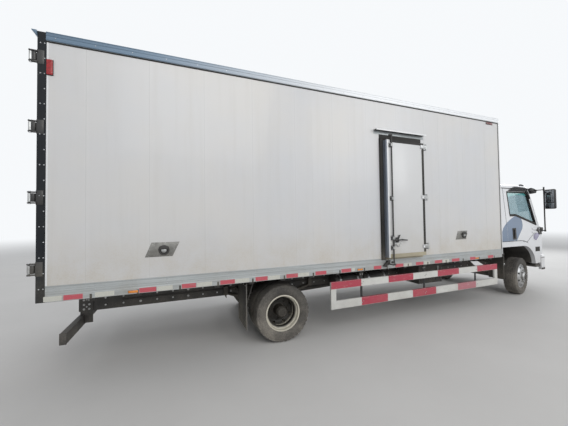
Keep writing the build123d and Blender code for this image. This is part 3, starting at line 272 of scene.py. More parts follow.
# white skin of the insulated panels: joints every 0.63 m, streaks of rain and a dusty foot
def makePanelSkin(values):
    material, tree, shader = newMaterial("panelSkin")
    point = objectPoint(tree)
    along = addNode(tree, "SeparateXYZ", {0: point}).outputs["X"]
    fromJoint = mathNode(tree, "PINGPONG", mathNode(tree, "SUBTRACT", along, values["firstJoint"]),
        values["jointPitch"] / 2)
    joint = rampNode(tree, fromJoint, 0.0, values["jointWidth"], 1.0, 0.0)
    halo = rampNode(tree, fromJoint, 0.0, 0.05, 1.0, 0.0)
    clouds = rampNode(tree, noiseNode(tree, point, 0.6, 3), 0.3, 0.7)
    rain = rampNode(tree, noiseNode(tree, stretched(tree, point, (9, 9, 0.5)), 1.0, 5, 0.6), 0.45, 0.8)
    base = mixColor(tree, clouds, values["coolTone"], values["warmTone"])
    for mask, share, tone in ((rain, values["rain"], (0.47, 0.45, 0.41)), (halo, 0.1, (0.72, 0.73, 0.74)),
            (joint, 0.5, (0.45, 0.45, 0.45))):
        base = mixColor(tree, mathNode(tree, "MULTIPLY", mask, share), base, tone)
    dustOver(tree, shader, base, 0.34, (1.05, 1.75, 0.42, 0.03), (0.5, 0.44, 0.34))
    waves = addNode(tree, "Bump", {"Height": noiseNode(tree, point, 0.9, 2), "Strength": 0.25,
        "Distance": 0.02})
    seam = addNode(tree, "Bump", {"Height": joint, "Strength": 0.35, "Distance": 0.002,
        "Normal": waves.outputs["Normal"]}, invert=True)
    fill(tree, shader, {"Normal": seam.outputs["Normal"], "Coat Weight": 0.12})
    return material


# reflective tape with its small cells and scuffs
def makeTape(name, color, scuffed):
    material, tree, shader = newMaterial(name)
    point = objectPoint(tree)
    cells = addNode(tree, "TexVoronoi", {"Vector": point, "Scale": 260.0},
        feature="DISTANCE_TO_EDGE").outputs[0]
    net = rampNode(tree, cells, 0.02, 0.12, 0.82, 1.0)
    base = mixColor(tree, 1.0, color, addNode(tree, "CombineColor", {0: net, 1: net, 2: net}).outputs[0],
        "MULTIPLY")
    scuff = rampNode(tree, noiseNode(tree, stretched(tree, point, (2.5, 2.5, 7)), 4.0, 7, 0.7), 0.55, 0.75)
    base = mixColor(tree, mathNode(tree, "MULTIPLY", scuff, 0.7), base, scuffed)
    dustOver(tree, shader, base, 0.3, (0.3, 1.1, 0.16, 0.04))
    fill(tree, shader, {"Coat Weight": 0.25})
    return material


# tinted glass with a faint film of dust
def makeGlass(name, color, rough=0.0, film=0.05, weight=1.0):
    material, tree, shader = newMaterial(name)
    point = objectPoint(tree)
    tone = rampNode(tree, noiseNode(tree, point, 2.0, 4), 0.35, 0.75)
    smear = rampNode(tree, noiseNode(tree, point, 14.0, 6), 0.45, 0.8, rough, rough + 0.12)
    base = mixColor(tree, mathNode(tree, "MULTIPLY", tone, film), color, (0.75, 0.74, 0.7))
    fill(tree, shader, {"Base Color": base, "Roughness": smear, "Transmission Weight": weight, "IOR": 1.45,
        "Specular IOR Level": 0.25})
    return material


panelSkin = makePanelSkin({"firstJoint": 0.63, "jointPitch": 0.63, "jointWidth": 0.004, "rain": 0.16,
    "coolTone": (0.6, 0.61, 0.63), "warmTone": (0.64, 0.63, 0.615)})
railAluminium = makeFinish("railAluminium", (0.44, 0.47, 0.48), 0.42, (0.9, 1.2, 0.35, 0.08), 0.14, 1.5,
    metal=0.35, stretch=(0.6, 6, 22), grain=(500, 0.1, 0.05))
roofAluminium = makeFinish("roofAluminium", (0.36, 0.42, 0.52), 0.42, (0.1, 0.2, 0.1, 0.08), 0.1, metal=0.3,
    stretch=(0.5, 5, 20))
postSteel = makeFinish("postSteel", (0.01, 0.013, 0.017), 0.5, (0.9, 1.6, 0.12, 0.02), 0.2, 3,
    stretch=(20, 20, 0.8), grain=(500, 0.1, 0.1), specular=0.2)
stainless = makeFinish("stainless", (0.52, 0.53, 0.55), 0.26, (0.9, 1.3, 0.3, 0.05), 0.12, 3, metal=1.0,
    stretch=(30, 30, 0.8), grain=(700, 0.1, 0.12))
zincPlate = makeFinish("zincPlate", (0.46, 0.47, 0.47), 0.36, (0.9, 1.6, 0.25, 0.08), 0.18, 14, metal=0.9,
    wear=(0.002, 0.4, (0.7, 0.7, 0.7)))
chassisBlack = makeFinish("chassisBlack", (0.018, 0.018, 0.02), 0.5, (0.2, 1.05, 0.42, 0.08), 0.25, 5,
    grain=(160, 0.3, 0.1), wear=(0.004, 0.25, (0.12, 0.1, 0.085)))
blackPlastic = makeFinish("blackPlastic", (0.022, 0.022, 0.024), 0.55, (0.4, 2.0, 0.2, 0.06), 0.15,
    grain=(900, 0.5, 0.05))
sealRubber = makeFinish("sealRubber", (0.012, 0.012, 0.012), 0.75, (0.9, 1.5, 0.35, 0.06), 0.3)
flapRubber = makeFinish("flapRubber", (0.016, 0.016, 0.016), 0.8, (0.2, 0.95, 0.5, 0.1), 0.3, 6)
cabPaint = makeFinish("cabPaint", (0.74, 0.75, 0.77), 0.36, (0.55, 1.35, 0.22, 0.02), 0.015, coat=0.25,
    grain=(900, 0.03, 0.06), dustColor=(0.42, 0.38, 0.31))
cabUnder = makeFinish("cabUnder", (0.05, 0.05, 0.052), 0.6, (0.6, 1.4, 0.5, 0.1), 0.1)
tankMetal = makeFinish("tankMetal", (0.55, 0.56, 0.57), 0.34, (0.3, 1.0, 0.3, 0.06), 0.12, metal=0.85,
    stretch=(1, 8, 8))
steelDark = makeFinish("steelDark", (0.07, 0.07, 0.075), 0.5, (0.3, 1.0, 0.45, 0.1), 0.3, 7, metal=0.5)
engineIron = makeFinish("engineIron", (0.13, 0.13, 0.135), 0.6, (0.4, 1.3, 0.45, 0.12), 0.3, 9, metal=0.4,
    grain=(120, 0.6, 0.1))
springSteel = makeFinish("springSteel", (0.05, 0.045, 0.04), 0.55, (0.3, 0.9, 0.5, 0.1), 0.35, 12,
    metal=0.4)
tyreRubber = makeFinish("tyreRubber", (0.02, 0.02, 0.021), 0.78, (0.0, 0.9, 0.6, 0.38), 0.3, 9,
    grain=(220, 0.4, 0.05), dustColor=(0.24, 0.22, 0.19))
wheelSilver = makeFinish("wheelSilver", (0.5, 0.51, 0.52), 0.34, (0.1, 0.75, 0.28, 0.08), 0.12, 11,
    metal=0.65, wear=(0.003, 0.4, (0.2, 0.16, 0.12)))
unitPlastic = makeFinish("unitPlastic", (0.68, 0.69, 0.69), 0.45, (2.6, 3.0, 0.2, 0.08), 0.04,
    grain=(700, 0.2, 0.05))
floorPlate = makeFinish("floorPlate", (0.36, 0.36, 0.36), 0.42, (0.9, 1.3, 0.2, 0.06), 0.2, 8, metal=0.7)
cabGrey = makeFinish("cabGrey", (0.1, 0.105, 0.115), 0.6, (0.9, 1.3, 0.15, 0.02), 0.08,
    grain=(900, 0.5, 0.04))
cabLining = makeFinish("cabLining", (0.34, 0.34, 0.34), 0.85, (0.9, 1.2, 0.1, 0.01),
    grain=(1200, 0.4, 0.04))
tapeRed = makeTape("tapeRed", (0.57, 0.09, 0.12), (0.42, 0.26, 0.26))
tapeWhite = makeTape("tapeWhite", (0.62, 0.62, 0.56), (0.4, 0.37, 0.28))
guardRed = makeTape("guardRed", (0.48, 0.035, 0.075), (0.52, 0.3, 0.3))
lampRed = makeFinish("lampRed", (0.34, 0.008, 0.012), 0.2, (0.3, 1.0, 0.2, 0.01), 0.2, 40, coat=0.2,
    grain=(240, 0.5, 0.0))
lampAmber = makeFinish("lampAmber", (0.75, 0.24, 0.02), 0.14, (0.3, 1.0, 0.2, 0.04), 0.2, 40, coat=0.8,
    grain=(240, 0.5, 0.0))
lampClear = makeFinish("lampClear", (0.62, 0.6, 0.62), 0.1, (0.3, 1.0, 0.15, 0.03), 0.2, 30, coat=0.9,
    grain=(200, 0.5, 0.0))
cabGlass = makeGlass("cabGlass", (0.5, 0.61, 0.64))
mirrorFace = makeFinish("mirrorFace", (0.3, 0.32, 0.34), 0.03, (0.1, 0.2, 0.1, 0.02), 0.01, metal=1.0,
    grain=(300, 0.0, 0.0))
floorShade = makeFinish("floorShade", studio["floorColor"], 0.9, (-2, -1, 0, 0), 0.03, 0.4)


# the floor runs out into the pale background
def fadeFloor(material, near, far):
    tree = material.node_tree
    distance = addNode(tree, "VectorMath", {0: objectPoint(tree)}, operation="LENGTH").outputs["Value"]
    glow = addNode(tree, "Emission", {"Color": studio["background"], "Strength": 1.0})
    mix = addNode(tree, "MixShader", {0: rampNode(tree, distance, near, far),
        1: tree.nodes["Principled BSDF"].outputs[0], 2: glow.outputs[0]})
    tree.links.new(mix.outputs[0], tree.nodes["Material Output"].inputs["Surface"])


fadeFloor(floorShade, *studio["fade"])


def paintNodes(material, *names):
    for name in names:
        mesh = nodes[name].data
        mesh.materials.clear()
        mesh.materials.append(material)


for finish, names in ((panelSkin, ("box_side_right", "box_side_left", "box_front_wall", "box_roof")),
        (railAluminium, ("box_rails",)), (postSteel, ("rear_frame",)), (floorPlate, ("box_floor",)),
        (chassisBlack, ("frame_rails", "frame_crossmembers", "box_sills", "box_bearers", "rear_axle",
        "front_axle", "propshaft", "rear_underrun", "cab_mounts", "knuckle_right", "knuckle_left")),
        (springSteel, ("leaf_springs",)), (engineIron, ("engine_block",)), (tankMetal, ("fuel_tank",)),
        (steelDark, ("silencer", "air_tanks")), (blackPlastic, ("battery_box",)),
        (flapRubber, ("mud_flaps",)), (cabPaint, ("front_bumper", "cab_roof", "cab_back", "cab_front",
        "cab_sides", "cab_door_right", "cab_door_left", "cab_flares")), (cabUnder, ("cab_floor",)),
        (cabGlass, ("windscreen", "cab_door_glass_right", "cab_door_glass_left")),
        (cabGrey, ("dashboard", "steering_wheel")), (unitPlastic, ("fridge_unit",)),
        (wheelSilver, ("wheel_front_right", "wheel_front_left"))):
    paintNodes(finish, *names)
print("materials ready")


# mesh helpers
def setMaterial(verts, index):
    for face in {f for v in verts for f in v.link_faces}:
        face.material_index = index


def soften(bm, verts, soft, segments):
    edges = list({e for v in verts for e in v.link_edges})
    bmesh.ops.bevel(bm, geom=edges, offset=soft, segments=segments, profile=0.5, affect="EDGES",
        material=-1)


# several pieces of one kind in one mesh, a row of arguments for each
def addAll(bm, tool, rows):
    for row in rows:
        tool(bm, *row)


def slab(bm, x0, x1, y0, y1, z0, z1, soft=0.0, material=0, segments=2):
    verts = bmesh.ops.create_cube(bm, size=1)["verts"]
    bmesh.ops.scale(bm, vec=(abs(x1 - x0), abs(y1 - y0), abs(z1 - z0)), verts=verts)
    bmesh.ops.translate(bm, vec=((x0 + x1) / 2, (y0 + y1) / 2, (z0 + z1) / 2), verts=verts)
    setMaterial(verts, material)
    if soft:
        soften(bm, verts, soft, segments)


def rod(bm, start, end, radius, steps=16, material=0, endRadius=None):
    start, end = Vector(start), Vector(end)
    turn = (end - start).to_track_quat("Z", "Y").to_matrix().to_4x4()
    verts = bmesh.ops.create_cone(bm, cap_ends=True, segments=steps, radius1=radius,
        radius2=radius if endRadius is None else endRadius, depth=(end - start).length,
        matrix=Matrix.Translation((start + end) / 2) @ turn)["verts"]
    setMaterial(verts, material)
    return verts


# bolt heads: a washer, a six-sided head, both standing along the given direction
def bolt(bm, place, way, radius, material=0):
    place, way = Vector(place), Vector(way).normalized()
    addAll(bm, rod, ((place, place + way * radius * 0.35, radius * 1.5, 12, material),
        (place + way * radius * 0.3, place + way * radius * 1.25, radius, 6, material, radius * 0.9)))


# the four corners of a bolt pattern
def corners(half, rise):
    return [(u, v) for u in (-half, half) for v in (-rise, rise)]


def rivet(bm, place, way, radius, material=0):
    place, way = Vector(place), Vector(way).normalized()
    rod(bm, place, place + way * radius * 0.6, radius, 8, material, radius * 0.45)


# a loop of (x, z) or (y, z) or (x, y) points pushed through a depth
def prism(bm, points, axis, a, b, soft=0.0, material=0, segments=2):
    def order(u, v, w):
        return {"x": (w, u, v), "y": (u, w, v), "z": (u, v, w)}[axis]

    verts = [bm.verts.new(order(u, v, a)) for u, v in points]
    face = bm.faces.new(verts)
    made = bmesh.ops.extrude_face_region(bm, geom=[face])["geom"]
    moved = [g for g in made if isinstance(g, bmesh.types.BMVert)]
    bmesh.ops.translate(bm, vec=Vector(order(0, 0, b)) - Vector(order(0, 0, a)), verts=moved)
    verts += moved
    bmesh.ops.recalc_face_normals(bm, faces=list({f for v in verts for f in v.link_faces}))
    setMaterial(verts, material)
    if soft:
        soften(bm, verts, soft, segments)


# an outline of (along, radius) turned once round an axis; it is closed when both ends stay off the axis
def lathe(bm, outline, centre, axis, steps=64, material=0):
    centre, axis = Vector(centre), Vector(axis).normalized()
    side = axis.cross(Vector((0, 0, 1)))
    side = side.normalized() if side.length > 0.1 else Vector((1, 0, 0))
    verts = [bm.verts.new(centre + axis * a + side * r) for a, r in outline]
    edges = [bm.edges.new(pair) for pair in zip(verts, verts[1:])]
    if min(outline[0][1], outline[-1][1]) > 0:
        edges.append(bm.edges.new((verts[-1], verts[0])))
    before = set(bm.faces)
    bmesh.ops.spin(bm, geom=verts + edges, cent=centre, axis=axis, angle=2 * math.pi, steps=steps,
        use_merge=True)
    faces = [f for f in bm.faces if f not in before]
    bmesh.ops.remove_doubles(bm, verts=list({v for f in faces for v in f.verts}), dist=1e-5)
    faces = [f for f in bm.faces if f not in before]
    bmesh.ops.recalc_face_normals(bm, faces=faces)
    for face in faces:
        face.material_index = material
    return faces


def placePiece(piece, body, replaces):
    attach(piece, body)
    if replaces:
        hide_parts(*replaces)
    return piece


def makePiece(name, bm, body, materials, replaces=(), angle=35):
    mesh = bpy.data.meshes.new(name)
    bm.to_mesh(mesh)
    bm.free()
    for material in materials:
        mesh.materials.append(material)
    mesh.shade_smooth()
    mesh.set_sharp_from_angle(angle=math.radians(angle))
    return placePiece(addObject(name, mesh), body, replaces)


# box: where the CAD says
boxLow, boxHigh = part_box("box_side_right")
frontX = boxHigh.x
panelY = -boxLow.y
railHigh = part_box("box_rails")[1]
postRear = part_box("box_roof")[0].x - 0.08
sideWays = {"right": -1, "left": 1}

# vent plate metal: zinc-grey darkened with painted shade
plateMetal = makeFinish("plateMetal", (0.22, 0.22, 0.21), 0.42, (1.2, 1.6, 0.2, 0.1), 0.2, 20, metal=0.7)
sealBeige = makeFinish("sealBeige", (0.4, 0.36, 0.26), 0.6, (1.0, 1.2, 0.2, 0.1), 0.15)
trimWhite = makeFinish("trimWhite", (0.76, 0.77, 0.78), 0.3, (0.9, 1.3, 0.15, 0.03), 0.02, coat=0.2)


# roof rail: the blue-grey at the rear is a painted sky reflection, fading into the bright rail colour
# towards the nose
def makeRailReflectionPaint(values):
    material = makeFinish("roofRailPaint", values["rearTone"], 0.42, (0.1, 0.2, 0.1, 0.04), 0.1, metal=0.15,
        stretch=(0.5, 5, 20))
    tree = material.node_tree
    share = rampNode(tree, objectAxis(tree, "X"), values["rearEnd"], values["noseEnd"])
    layOver(material, share, values["noseTone"])
    return material


roofRailPaint = makeRailReflectionPaint({"rearTone": (0.12, 0.19, 0.27), "noseTone": (0.8, 0.82, 0.84),
    "rearEnd": -4.2, "noseEnd": -0.3})

# edge rails: extruded profiles outside the flat bars, as (distance outwards, height)
bottomProfile = ((-0.001, 1.109), (0.007, 1.105), (0.007, 1.098), (0.0015, 1.094), (0.0015, 1.058),
    (0.004, 1.055), (0.004, 1.049), (0.0015, 1.046), (0.0015, 1.012), (0.006, 1.006), (0.006, 0.943),
    (-0.001, 0.939))
roofProfile = ((-0.001, 3.799), (0.006, 3.796), (0.006, 3.789), (0.002, 3.785), (0.002, 3.768),
    (0.006, 3.765), (0.006, 3.758), (0.002, 3.754), (0.002, 3.728), (0.007, 3.723), (0.007, 3.711),
    (-0.001, 3.705))


def pushedRail(bm, outline, face, way):
    prism(bm, [(way * (face + out), z) for out, z in outline], "x", postRear + 0.08, frontX)


railMesh = bmesh.new()
roofMesh = bmesh.new()
for way in (-1, 1):
    pushedRail(railMesh, bottomProfile, panelY, way)
    pushedRail(roofMesh, roofProfile, railHigh.y, way)
    # along the rail: a black strip right under the roof rail's lip is painted shadow; then the nose corner
    # trim, a dark line beside it and a pale strip at the rear post
    addAll(roofMesh, slab, ((postRear + 0.08, frontX, way * panelY, way * (panelY + 0.005), 3.694, 3.706, 0,
        1), (frontX - 0.002, frontX + 0.012, way * (panelY - 0.05), way * (panelY + 0.016), 1.0, 3.79,
        0.004, 2), (frontX - 0.012, frontX - 0.002, way * panelY, way * (panelY + 0.003), 1.11, 3.705, 0,
        1), (postRear + 0.08, postRear + 0.096, way * panelY, way * (panelY + 0.002), 1.11, 3.694, 0, 2)))
makePiece("bottomRailProfile", railMesh, "root", [railAluminium])
# the roof's rear lip sheds rain past the doors
prism(roofMesh, ((postRear, 3.799), (postRear - 0.044, 3.799), (postRear - 0.044, 3.792),
    (postRear, 3.748)), "y", -railHigh.y - 0.004, railHigh.y + 0.004, 0.001)
makePiece("roofRailProfile", roofMesh, "root", [roofRailPaint, sealRubber, trimWhite])

# reflective bands on the lower lip, front to rear, as (start, end, colour)
tapeBands = ((-4.772, -4.616, 1), (-4.602, -4.431, 0), (-4.321, -4.136, 1), (-3.887, -3.709, 0),
    (-3.702, -3.53, 1), (-3.428, -3.263, 0), (-3.251, -3.069, 1), (-2.966, -2.779, 0), (-2.777, -2.584, 1),
    (-2.5, -2.33, 0), (-2.324, -2.149, 1), (-2.053, -1.876, 0), (-1.874, -1.699, 1), (-1.593, -1.41, 0),
    (-1.146, -0.97, 0), (-0.534, -0.382, 0), (-0.088, 0.084, 0), (0.369, 0.541, 0), (0.818, 1.002, 0),
    (1.254, 1.457, 0), (1.752, 1.903, 0), (2.28, 2.436, 0), (-0.96, -0.9, 1), (0.1, 0.27, 1),
    (0.56, 0.7, 1), (1.02, 1.18, 1))
mesh = bmesh.new()
for way in (-1, 1):
    for start, end, pale in tapeBands:
        slab(mesh, start, end, way * (panelY + 0.0055), way * (panelY + 0.0068), 0.947, 1.0, 0, pale)
makePiece("railTape", mesh, "root", [tapeRed, tapeWhite])

# cover beads over the panel joints, and the drain slots at each bearer
jointMesh = bmesh.new()
jointPlaces = [-0.96 + 0.65 * k for k in range(-5, 6) if k not in (1, 2)] + [0.63]
slotMesh = bmesh.new()
bearerPlaces = [frontX - 0.253 - 0.455 * k for k in range(16)]
for way in (-1, 1):
    for x in jointPlaces:
        slab(jointMesh, x - 0.005, x + 0.005, way * (panelY - 0.001), way * (panelY + 0.0009), 1.108, 3.706)
    for x in bearerPlaces:
        slab(slotMesh, x - 0.011, x + 0.011, way * (panelY - 0.03), way * (panelY + 0.0075), 0.934, 0.988)
makePiece("panelJointBeads", jointMesh, "root", [panelSkin])
makePiece("railDrainSlots", slotMesh, "root", [sealRubber])

# rivets: rails every 0.35 m, rear posts in two columns
mesh = bmesh.new()
for way in (-1, 1):
    for k in range(21):
        x = postRear + 0.16 + k * 0.363
        for z, out in ((1.08, 0.0015), (1.03, 0.0015), (3.742, 0.0195)):
            rivet(mesh, (x, way * (panelY + out), z), (0, way, 0), 0.0065)
    for k in range(9):
        z = 1.08 + k * 0.325
        addAll(mesh, rivet, (((postRear + 0.026, way * panelY, z), (0, way, 0), 0.0075),
            ((postRear + 0.062, way * panelY, z), (0, way, 0), 0.0075)))
        if k < 8:
            rivet(mesh, (postRear + 0.062, way * panelY, z + 0.162), (0, way, 0), 0.0075)
        for y in (1.195, 1.125):
            rivet(mesh, (postRear, way * y, z - 0.06), (-1, 0, 0), 0.0075)
makePiece("rivets", mesh, "root", [stainless])

# slanted vent plates, two on each side: outline corners, then the vent's middle
ventPlates = {"rear": (((-3.83, 1.35), (-3.76, 1.52), (-3.45, 1.52), (-3.53, 1.35)), (-3.625, 1.425)),
    "front": (((1.38, 1.35), (1.44, 1.51), (1.7, 1.51), (1.66, 1.35)), (1.6, 1.43))}
for sideName, way in sideWays.items():
    for where, (outline, middle) in ventPlates.items():
        mesh = bmesh.new()
        prism(mesh, outline, "y", way * (panelY - 0.001), way * (panelY + 0.004), 0.0012)
        for (x0, z0), (x1, z1) in zip(outline, outline[1:] + outline[:1]):
            for share in (0.08, 0.5, 0.92):
                x, z = x0 + (x1 - x0) * share, z0 + (z1 - z0) * share
                inwards = Vector((sum(p[0] for p in outline) / 4 - x,
                    sum(p[1] for p in outline) / 4 - z)) * 0.1
                rivet(mesh, (x + inwards.x, way * (panelY + 0.004), z + inwards.y), (0, way, 0), 0.004, 1)
        spot = (middle[0], way * (panelY + 0.004), middle[1])
        addAll(mesh, lathe, ((((-0.002, 0.06), (0.01, 0.06), (0.014, 0.056), (0.014, 0.046), (0.002, 0.044),
            (0.002, 0.0)), spot, (0, way, 0), 36, 2), (((0.0, 0.03), (0.018, 0.028), (0.022, 0.022),
            (0.022, 0.0)), spot, (0, way, 0), 28, 1)))
        prism(mesh, ((middle[0] - 0.062, middle[1] + 0.01), (middle[0] + 0.062, middle[1] + 0.01),
            (middle[0] + 0.05, middle[1] + 0.045), (middle[0], middle[1] + 0.062),
            (middle[0] - 0.05, middle[1] + 0.045)), "y", way * (panelY + 0.012), way * (panelY + 0.03),
            0.004, 2)
        makePiece("ventPlate_" + where + "_" + sideName, mesh, "root",
            [plateMetal, zincPlate, blackPlastic])

# drip rail over the side door, wall plates of its hinges
leaf = {"x0": -0.31, "x1": 0.49, "inner": 1.245, "outer": 1.335, "z0": 1.13, "z1": 3.05, "lap": 0.045}
leafX0, leafX1, leafInner, leafOuter, leafZ0, leafZ1, leafLap = leaf.values()
fitLow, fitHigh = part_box("side_door_fittings")
mesh = bmesh.new()
dripRear = fitLow.x - 0.1
addAll(mesh, slab, ((dripRear, fitHigh.x, -1.219, -1.299, 3.2215, 3.2305, 0.002),
    (dripRear, fitHigh.x, -1.219, -1.2235, 3.16, 3.222, 0.001, 1),
    (dripRear + 0.01, fitHigh.x - 0.01, -1.2235, -1.292, 3.2165, 3.2215, 0, 2),
    (dripRear, fitHigh.x, -1.292, -1.299, 3.206, 3.222)))
# dark band under the drip rail: the head of the door frame, partly painted shadow of the drip rail; hook
# beside the lock rod
slab(mesh, leafX0 - 0.06, leafX1 + 0.06, -1.2195, -1.2245, 3.098, 3.158, 0.001, 2)
prism(mesh, ((-0.365, 0.99), (-0.315, 0.972), (-0.235, 1.058), (-0.262, 1.078)), "y", -1.2255, -1.27, 0.006,
    4)
for k in range(7):
    rivet(mesh, (fitLow.x + 0.06 + k * (fitHigh.x - fitLow.x - 0.12) / 6, -1.2235, 3.185), (0, -1, 0),
        0.005, 1)
hingeMiddles = [1.28, 2.12, 2.99]
pinX, pinY = 0.55, -1.33
for z in hingeMiddles:
    slab(mesh, pinX - 0.013, pinX + 0.045, -1.2195, -1.2275, z - 0.072, z + 0.072, 0.002, 3)
    for end in (-1, 1):
        slab(mesh, pinX - 0.014, pinX + 0.014, -1.2275, pinY, z + end * 0.038, z + end * 0.05, 0.0015, 3)
        addAll(mesh, rod, (((pinX, pinY, z + end * 0.038), (pinX, pinY, z + end * 0.05), 0.0142, 20, 3),
            ((pinX, pinY, z + end * 0.05), (pinX, pinY, z + end * 0.057), 0.0085, 12, 3)))
        bolt(mesh, (pinX + 0.031, -1.2275, z + end * 0.055), (0, -1, 0), 0.006, 3)
    rod(mesh, (pinX, pinY, z - 0.04), (pinX, pinY, z + 0.04), 0.0078, 14, 3)
# keeper of the lock rod on the rail
addAll(mesh, slab, ((-0.275, -0.195, -1.2255, -1.2315, 1.0, 1.075, 0.002, 4),
    (-0.262, -0.208, -1.2315, -1.372, 1.01, 1.018, 0.002, 4), (-0.262, -0.208, -1.366, -1.374, 1.01, 1.04,
    0.002, 4)))
makePiece("sideDoorFittings", mesh, "root", [trimWhite, railAluminium, sealRubber, zincPlate, chassisBlack],
    ["side_door_fittings"])

# side door: leaf, seal, hinges and lock gear
doorSkin = makeFinish("doorSkin", (0.63, 0.635, 0.64), 0.3, (1.1, 1.9, 0.3, 0.03), 0.02, 1.2, coat=0.12,
    dustColor=(0.5, 0.45, 0.36), grain=(300, 0.03, 0.2))
edgeSteel = makeFinish("edgeSteel", (0.34, 0.39, 0.47), 0.3, (1.1, 1.5, 0.3, 0.04), 0.12, metal=0.75,
    stretch=(20, 20, 0.7))
mesh = bmesh.new()
addAll(mesh, slab, ((leafX0, leafX1, -leafInner, -leafOuter, leafZ0, leafZ1, 0.003),
    (leafX0 - 0.0012, leafX0 + 0.002, -leafInner - 0.001, -leafOuter + 0.004, leafZ0 + 0.002,
    leafZ1 - 0.002, 0, 1), (leafX0 - 0.0022, leafX0, -1.283, -1.287, leafZ0 + 0.002, leafZ1 - 0.002, 0, 2),
    (leafX0 + 0.002, leafX1 - 0.002, -leafInner - 0.001, -leafOuter + 0.004, leafZ1 - 0.002,
    leafZ1 + 0.0012, 0, 1), (leafX1 - 0.002, leafX1 + 0.0012, -leafInner - 0.001, -leafOuter + 0.004,
    leafZ0 + 0.002, leafZ1 - 0.002, 0, 1)))
# strips on the door face: the white one along the rear edge is a painted highlight on the door's corner; a
# dark one at the hinge edge; a beige one at the foot; the dark one along the top is partly gasket, partly
# painted shadow of the drip rail
for x0, x1, z0, z1, shade in ((leafX0, leafX0 + 0.022, leafZ0, leafZ1, 3),
        (leafX1 - 0.048, leafX1 + 0.001, leafZ0 + 0.06, leafZ1 + 0.001, 2),
        (leafX0 + 0.022, leafX1, leafZ0, leafZ0 + 0.06, 4), (leafX0 + 0.06, leafX1 - 0.048, leafZ1 - 0.04,
        leafZ1 + 0.001, 2)):
    slab(mesh, x0, x1, -leafOuter, -leafOuter - 0.0016, z0, z1, 0.0006, shade, 1)
makePiece("sideDoorLeaf", mesh, "side_door", [doorSkin, edgeSteel, sealRubber, trimWhite, sealBeige],
    ["side_door"])

mesh = bmesh.new()
lap = leafLap
for x0, x1, z0, z1, shade in ((leafX0 - lap - 0.022, leafX0 + 0.03, leafZ0 - lap, leafZ1 + lap, 0),
        (leafX1 - 0.03, leafX1 + lap, leafZ0 - lap + 0.03, leafZ1 + lap, 0),
        (leafX0 + 0.03, leafX1 - 0.03, leafZ1 - 0.03, leafZ1 + lap, 0),
        (leafX0 + 0.03, leafX1 + lap, leafZ0 - lap, leafZ0 + 0.03, 1)):
    addAll(mesh, slab, ((x0, x1, -1.2265, -1.2325, z0, z1, 0.0025, shade),
        (x0 + 0.012, x1 - 0.012, -1.2325, -1.245, z0 + 0.012, z1 - 0.012, 0.002, shade)))
makePiece("sideDoorSeal", mesh, "side_door", [sealRubber, sealBeige])

mesh = bmesh.new()
rodX, rodY = -0.235, -1.357
rod(mesh, (rodX, rodY, 1.045), (rodX, rodY, 3.135), 0.0105, 18)
for z in (1.29, 1.45, 2.09, 2.96):
    slab(mesh, rodX - 0.04, rodX + 0.036, -1.3365, -1.346, z - 0.036, z + 0.036, 0.002)
    rod(mesh, (rodX, rodY, z - 0.022), (rodX, rodY, z + 0.022), 0.0165, 20, 1)
    slab(mesh, rodX - 0.016, rodX + 0.016, -1.342, -1.36, z - 0.02, z + 0.02, 0.002, 1)
    for dx, dz in corners(0.024, 0.022):
        bolt(mesh, (rodX + dx, -1.346, z + dz), (0, -1, 0), 0.0045, 2)
for z, end in ((1.055, -1), (3.12, 1)):
    addAll(mesh, slab, ((rodX - 0.014, rodX + 0.014, rodY + 0.012, rodY + 0.052, z - 0.012, z + 0.012,
        0.004), (rodX - 0.05, rodX + 0.014, rodY - 0.012, rodY + 0.014, z - 0.012, z + 0.012, 0.004)))
# lever: hub, arm, hand grip and the catch below
hubZ = 1.412
lathe(mesh, ((-0.006, 0.03), (0.012, 0.03), (0.018, 0.024), (0.018, 0.0)), (rodX + 0.085, -1.35, hubZ),
    (0, -1, 0), 28)
slab(mesh, rodX + 0.04, rodX + 0.13, -1.3365, -1.344, hubZ - 0.042, hubZ + 0.042, 0.003)
prism(mesh, ((rodX + 0.085, hubZ + 0.02), (rodX + 0.118, hubZ + 0.02), (rodX + 0.15, hubZ + 0.085),
    (rodX + 0.118, hubZ + 0.078)), "y", -1.344, -1.356, 0.003)
slab(mesh, rodX, rodX + 0.1, -1.352, -1.366, hubZ - 0.014, hubZ + 0.014, 0.004)
addAll(mesh, rod, (((rodX + 0.085, -1.368, hubZ), (rodX + 0.17, -1.372, hubZ + 0.004), 0.009, 14),
    ((rodX + 0.16, -1.372, hubZ + 0.004), (rodX + 0.27, -1.376, hubZ - 0.006), 0.0125, 16, 0, 0.0085)))
for (x0, z0), (x1, z1) in zip(((0.05, -0.06), (0.095, -0.105), (0.13, -0.1), (0.15, -0.072)),
        ((0.095, -0.105), (0.13, -0.1), (0.15, -0.072), (0.158, -0.05))):
    rod(mesh, (rodX + x0, -1.35, hubZ + z0), (rodX + x1, -1.35, hubZ + z1), 0.0065, 12, 1)
slab(mesh, rodX + 0.03, rodX + 0.07, -1.3365, -1.352, hubZ - 0.08, hubZ - 0.045, 0.003, 1)
for dx in (0.05, 0.12):
    for dz in (-0.032, 0.032):
        bolt(mesh, (rodX + dx, -1.344, hubZ + dz), (0, -1, 0), 0.0045, 2)
for z in hingeMiddles:
    addAll(mesh, slab, ((leafX1 - 0.072, pinX - 0.01, -1.336, -1.3425, z - 0.031, z + 0.031, 0.002, 1),
        (leafX1 - 0.07, leafX1 - 0.03, -1.3425, -1.3465, z - 0.029, z + 0.029, 0.0015, 3)))
    rod(mesh, (pinX, pinY, z - 0.0315), (pinX, pinY, z + 0.0315), 0.016, 20, 1)
    for dx in (-0.06, -0.04):
        for dz in (-0.018, 0.018):
            bolt(mesh, (leafX1 + dx, -1.3465, z + dz), (0, -1, 0), 0.0045, 2)
makePiece("sideDoorGear", mesh, "side_door", [chassisBlack, zincPlate, stainless, trimWhite])
print("box and side door built")

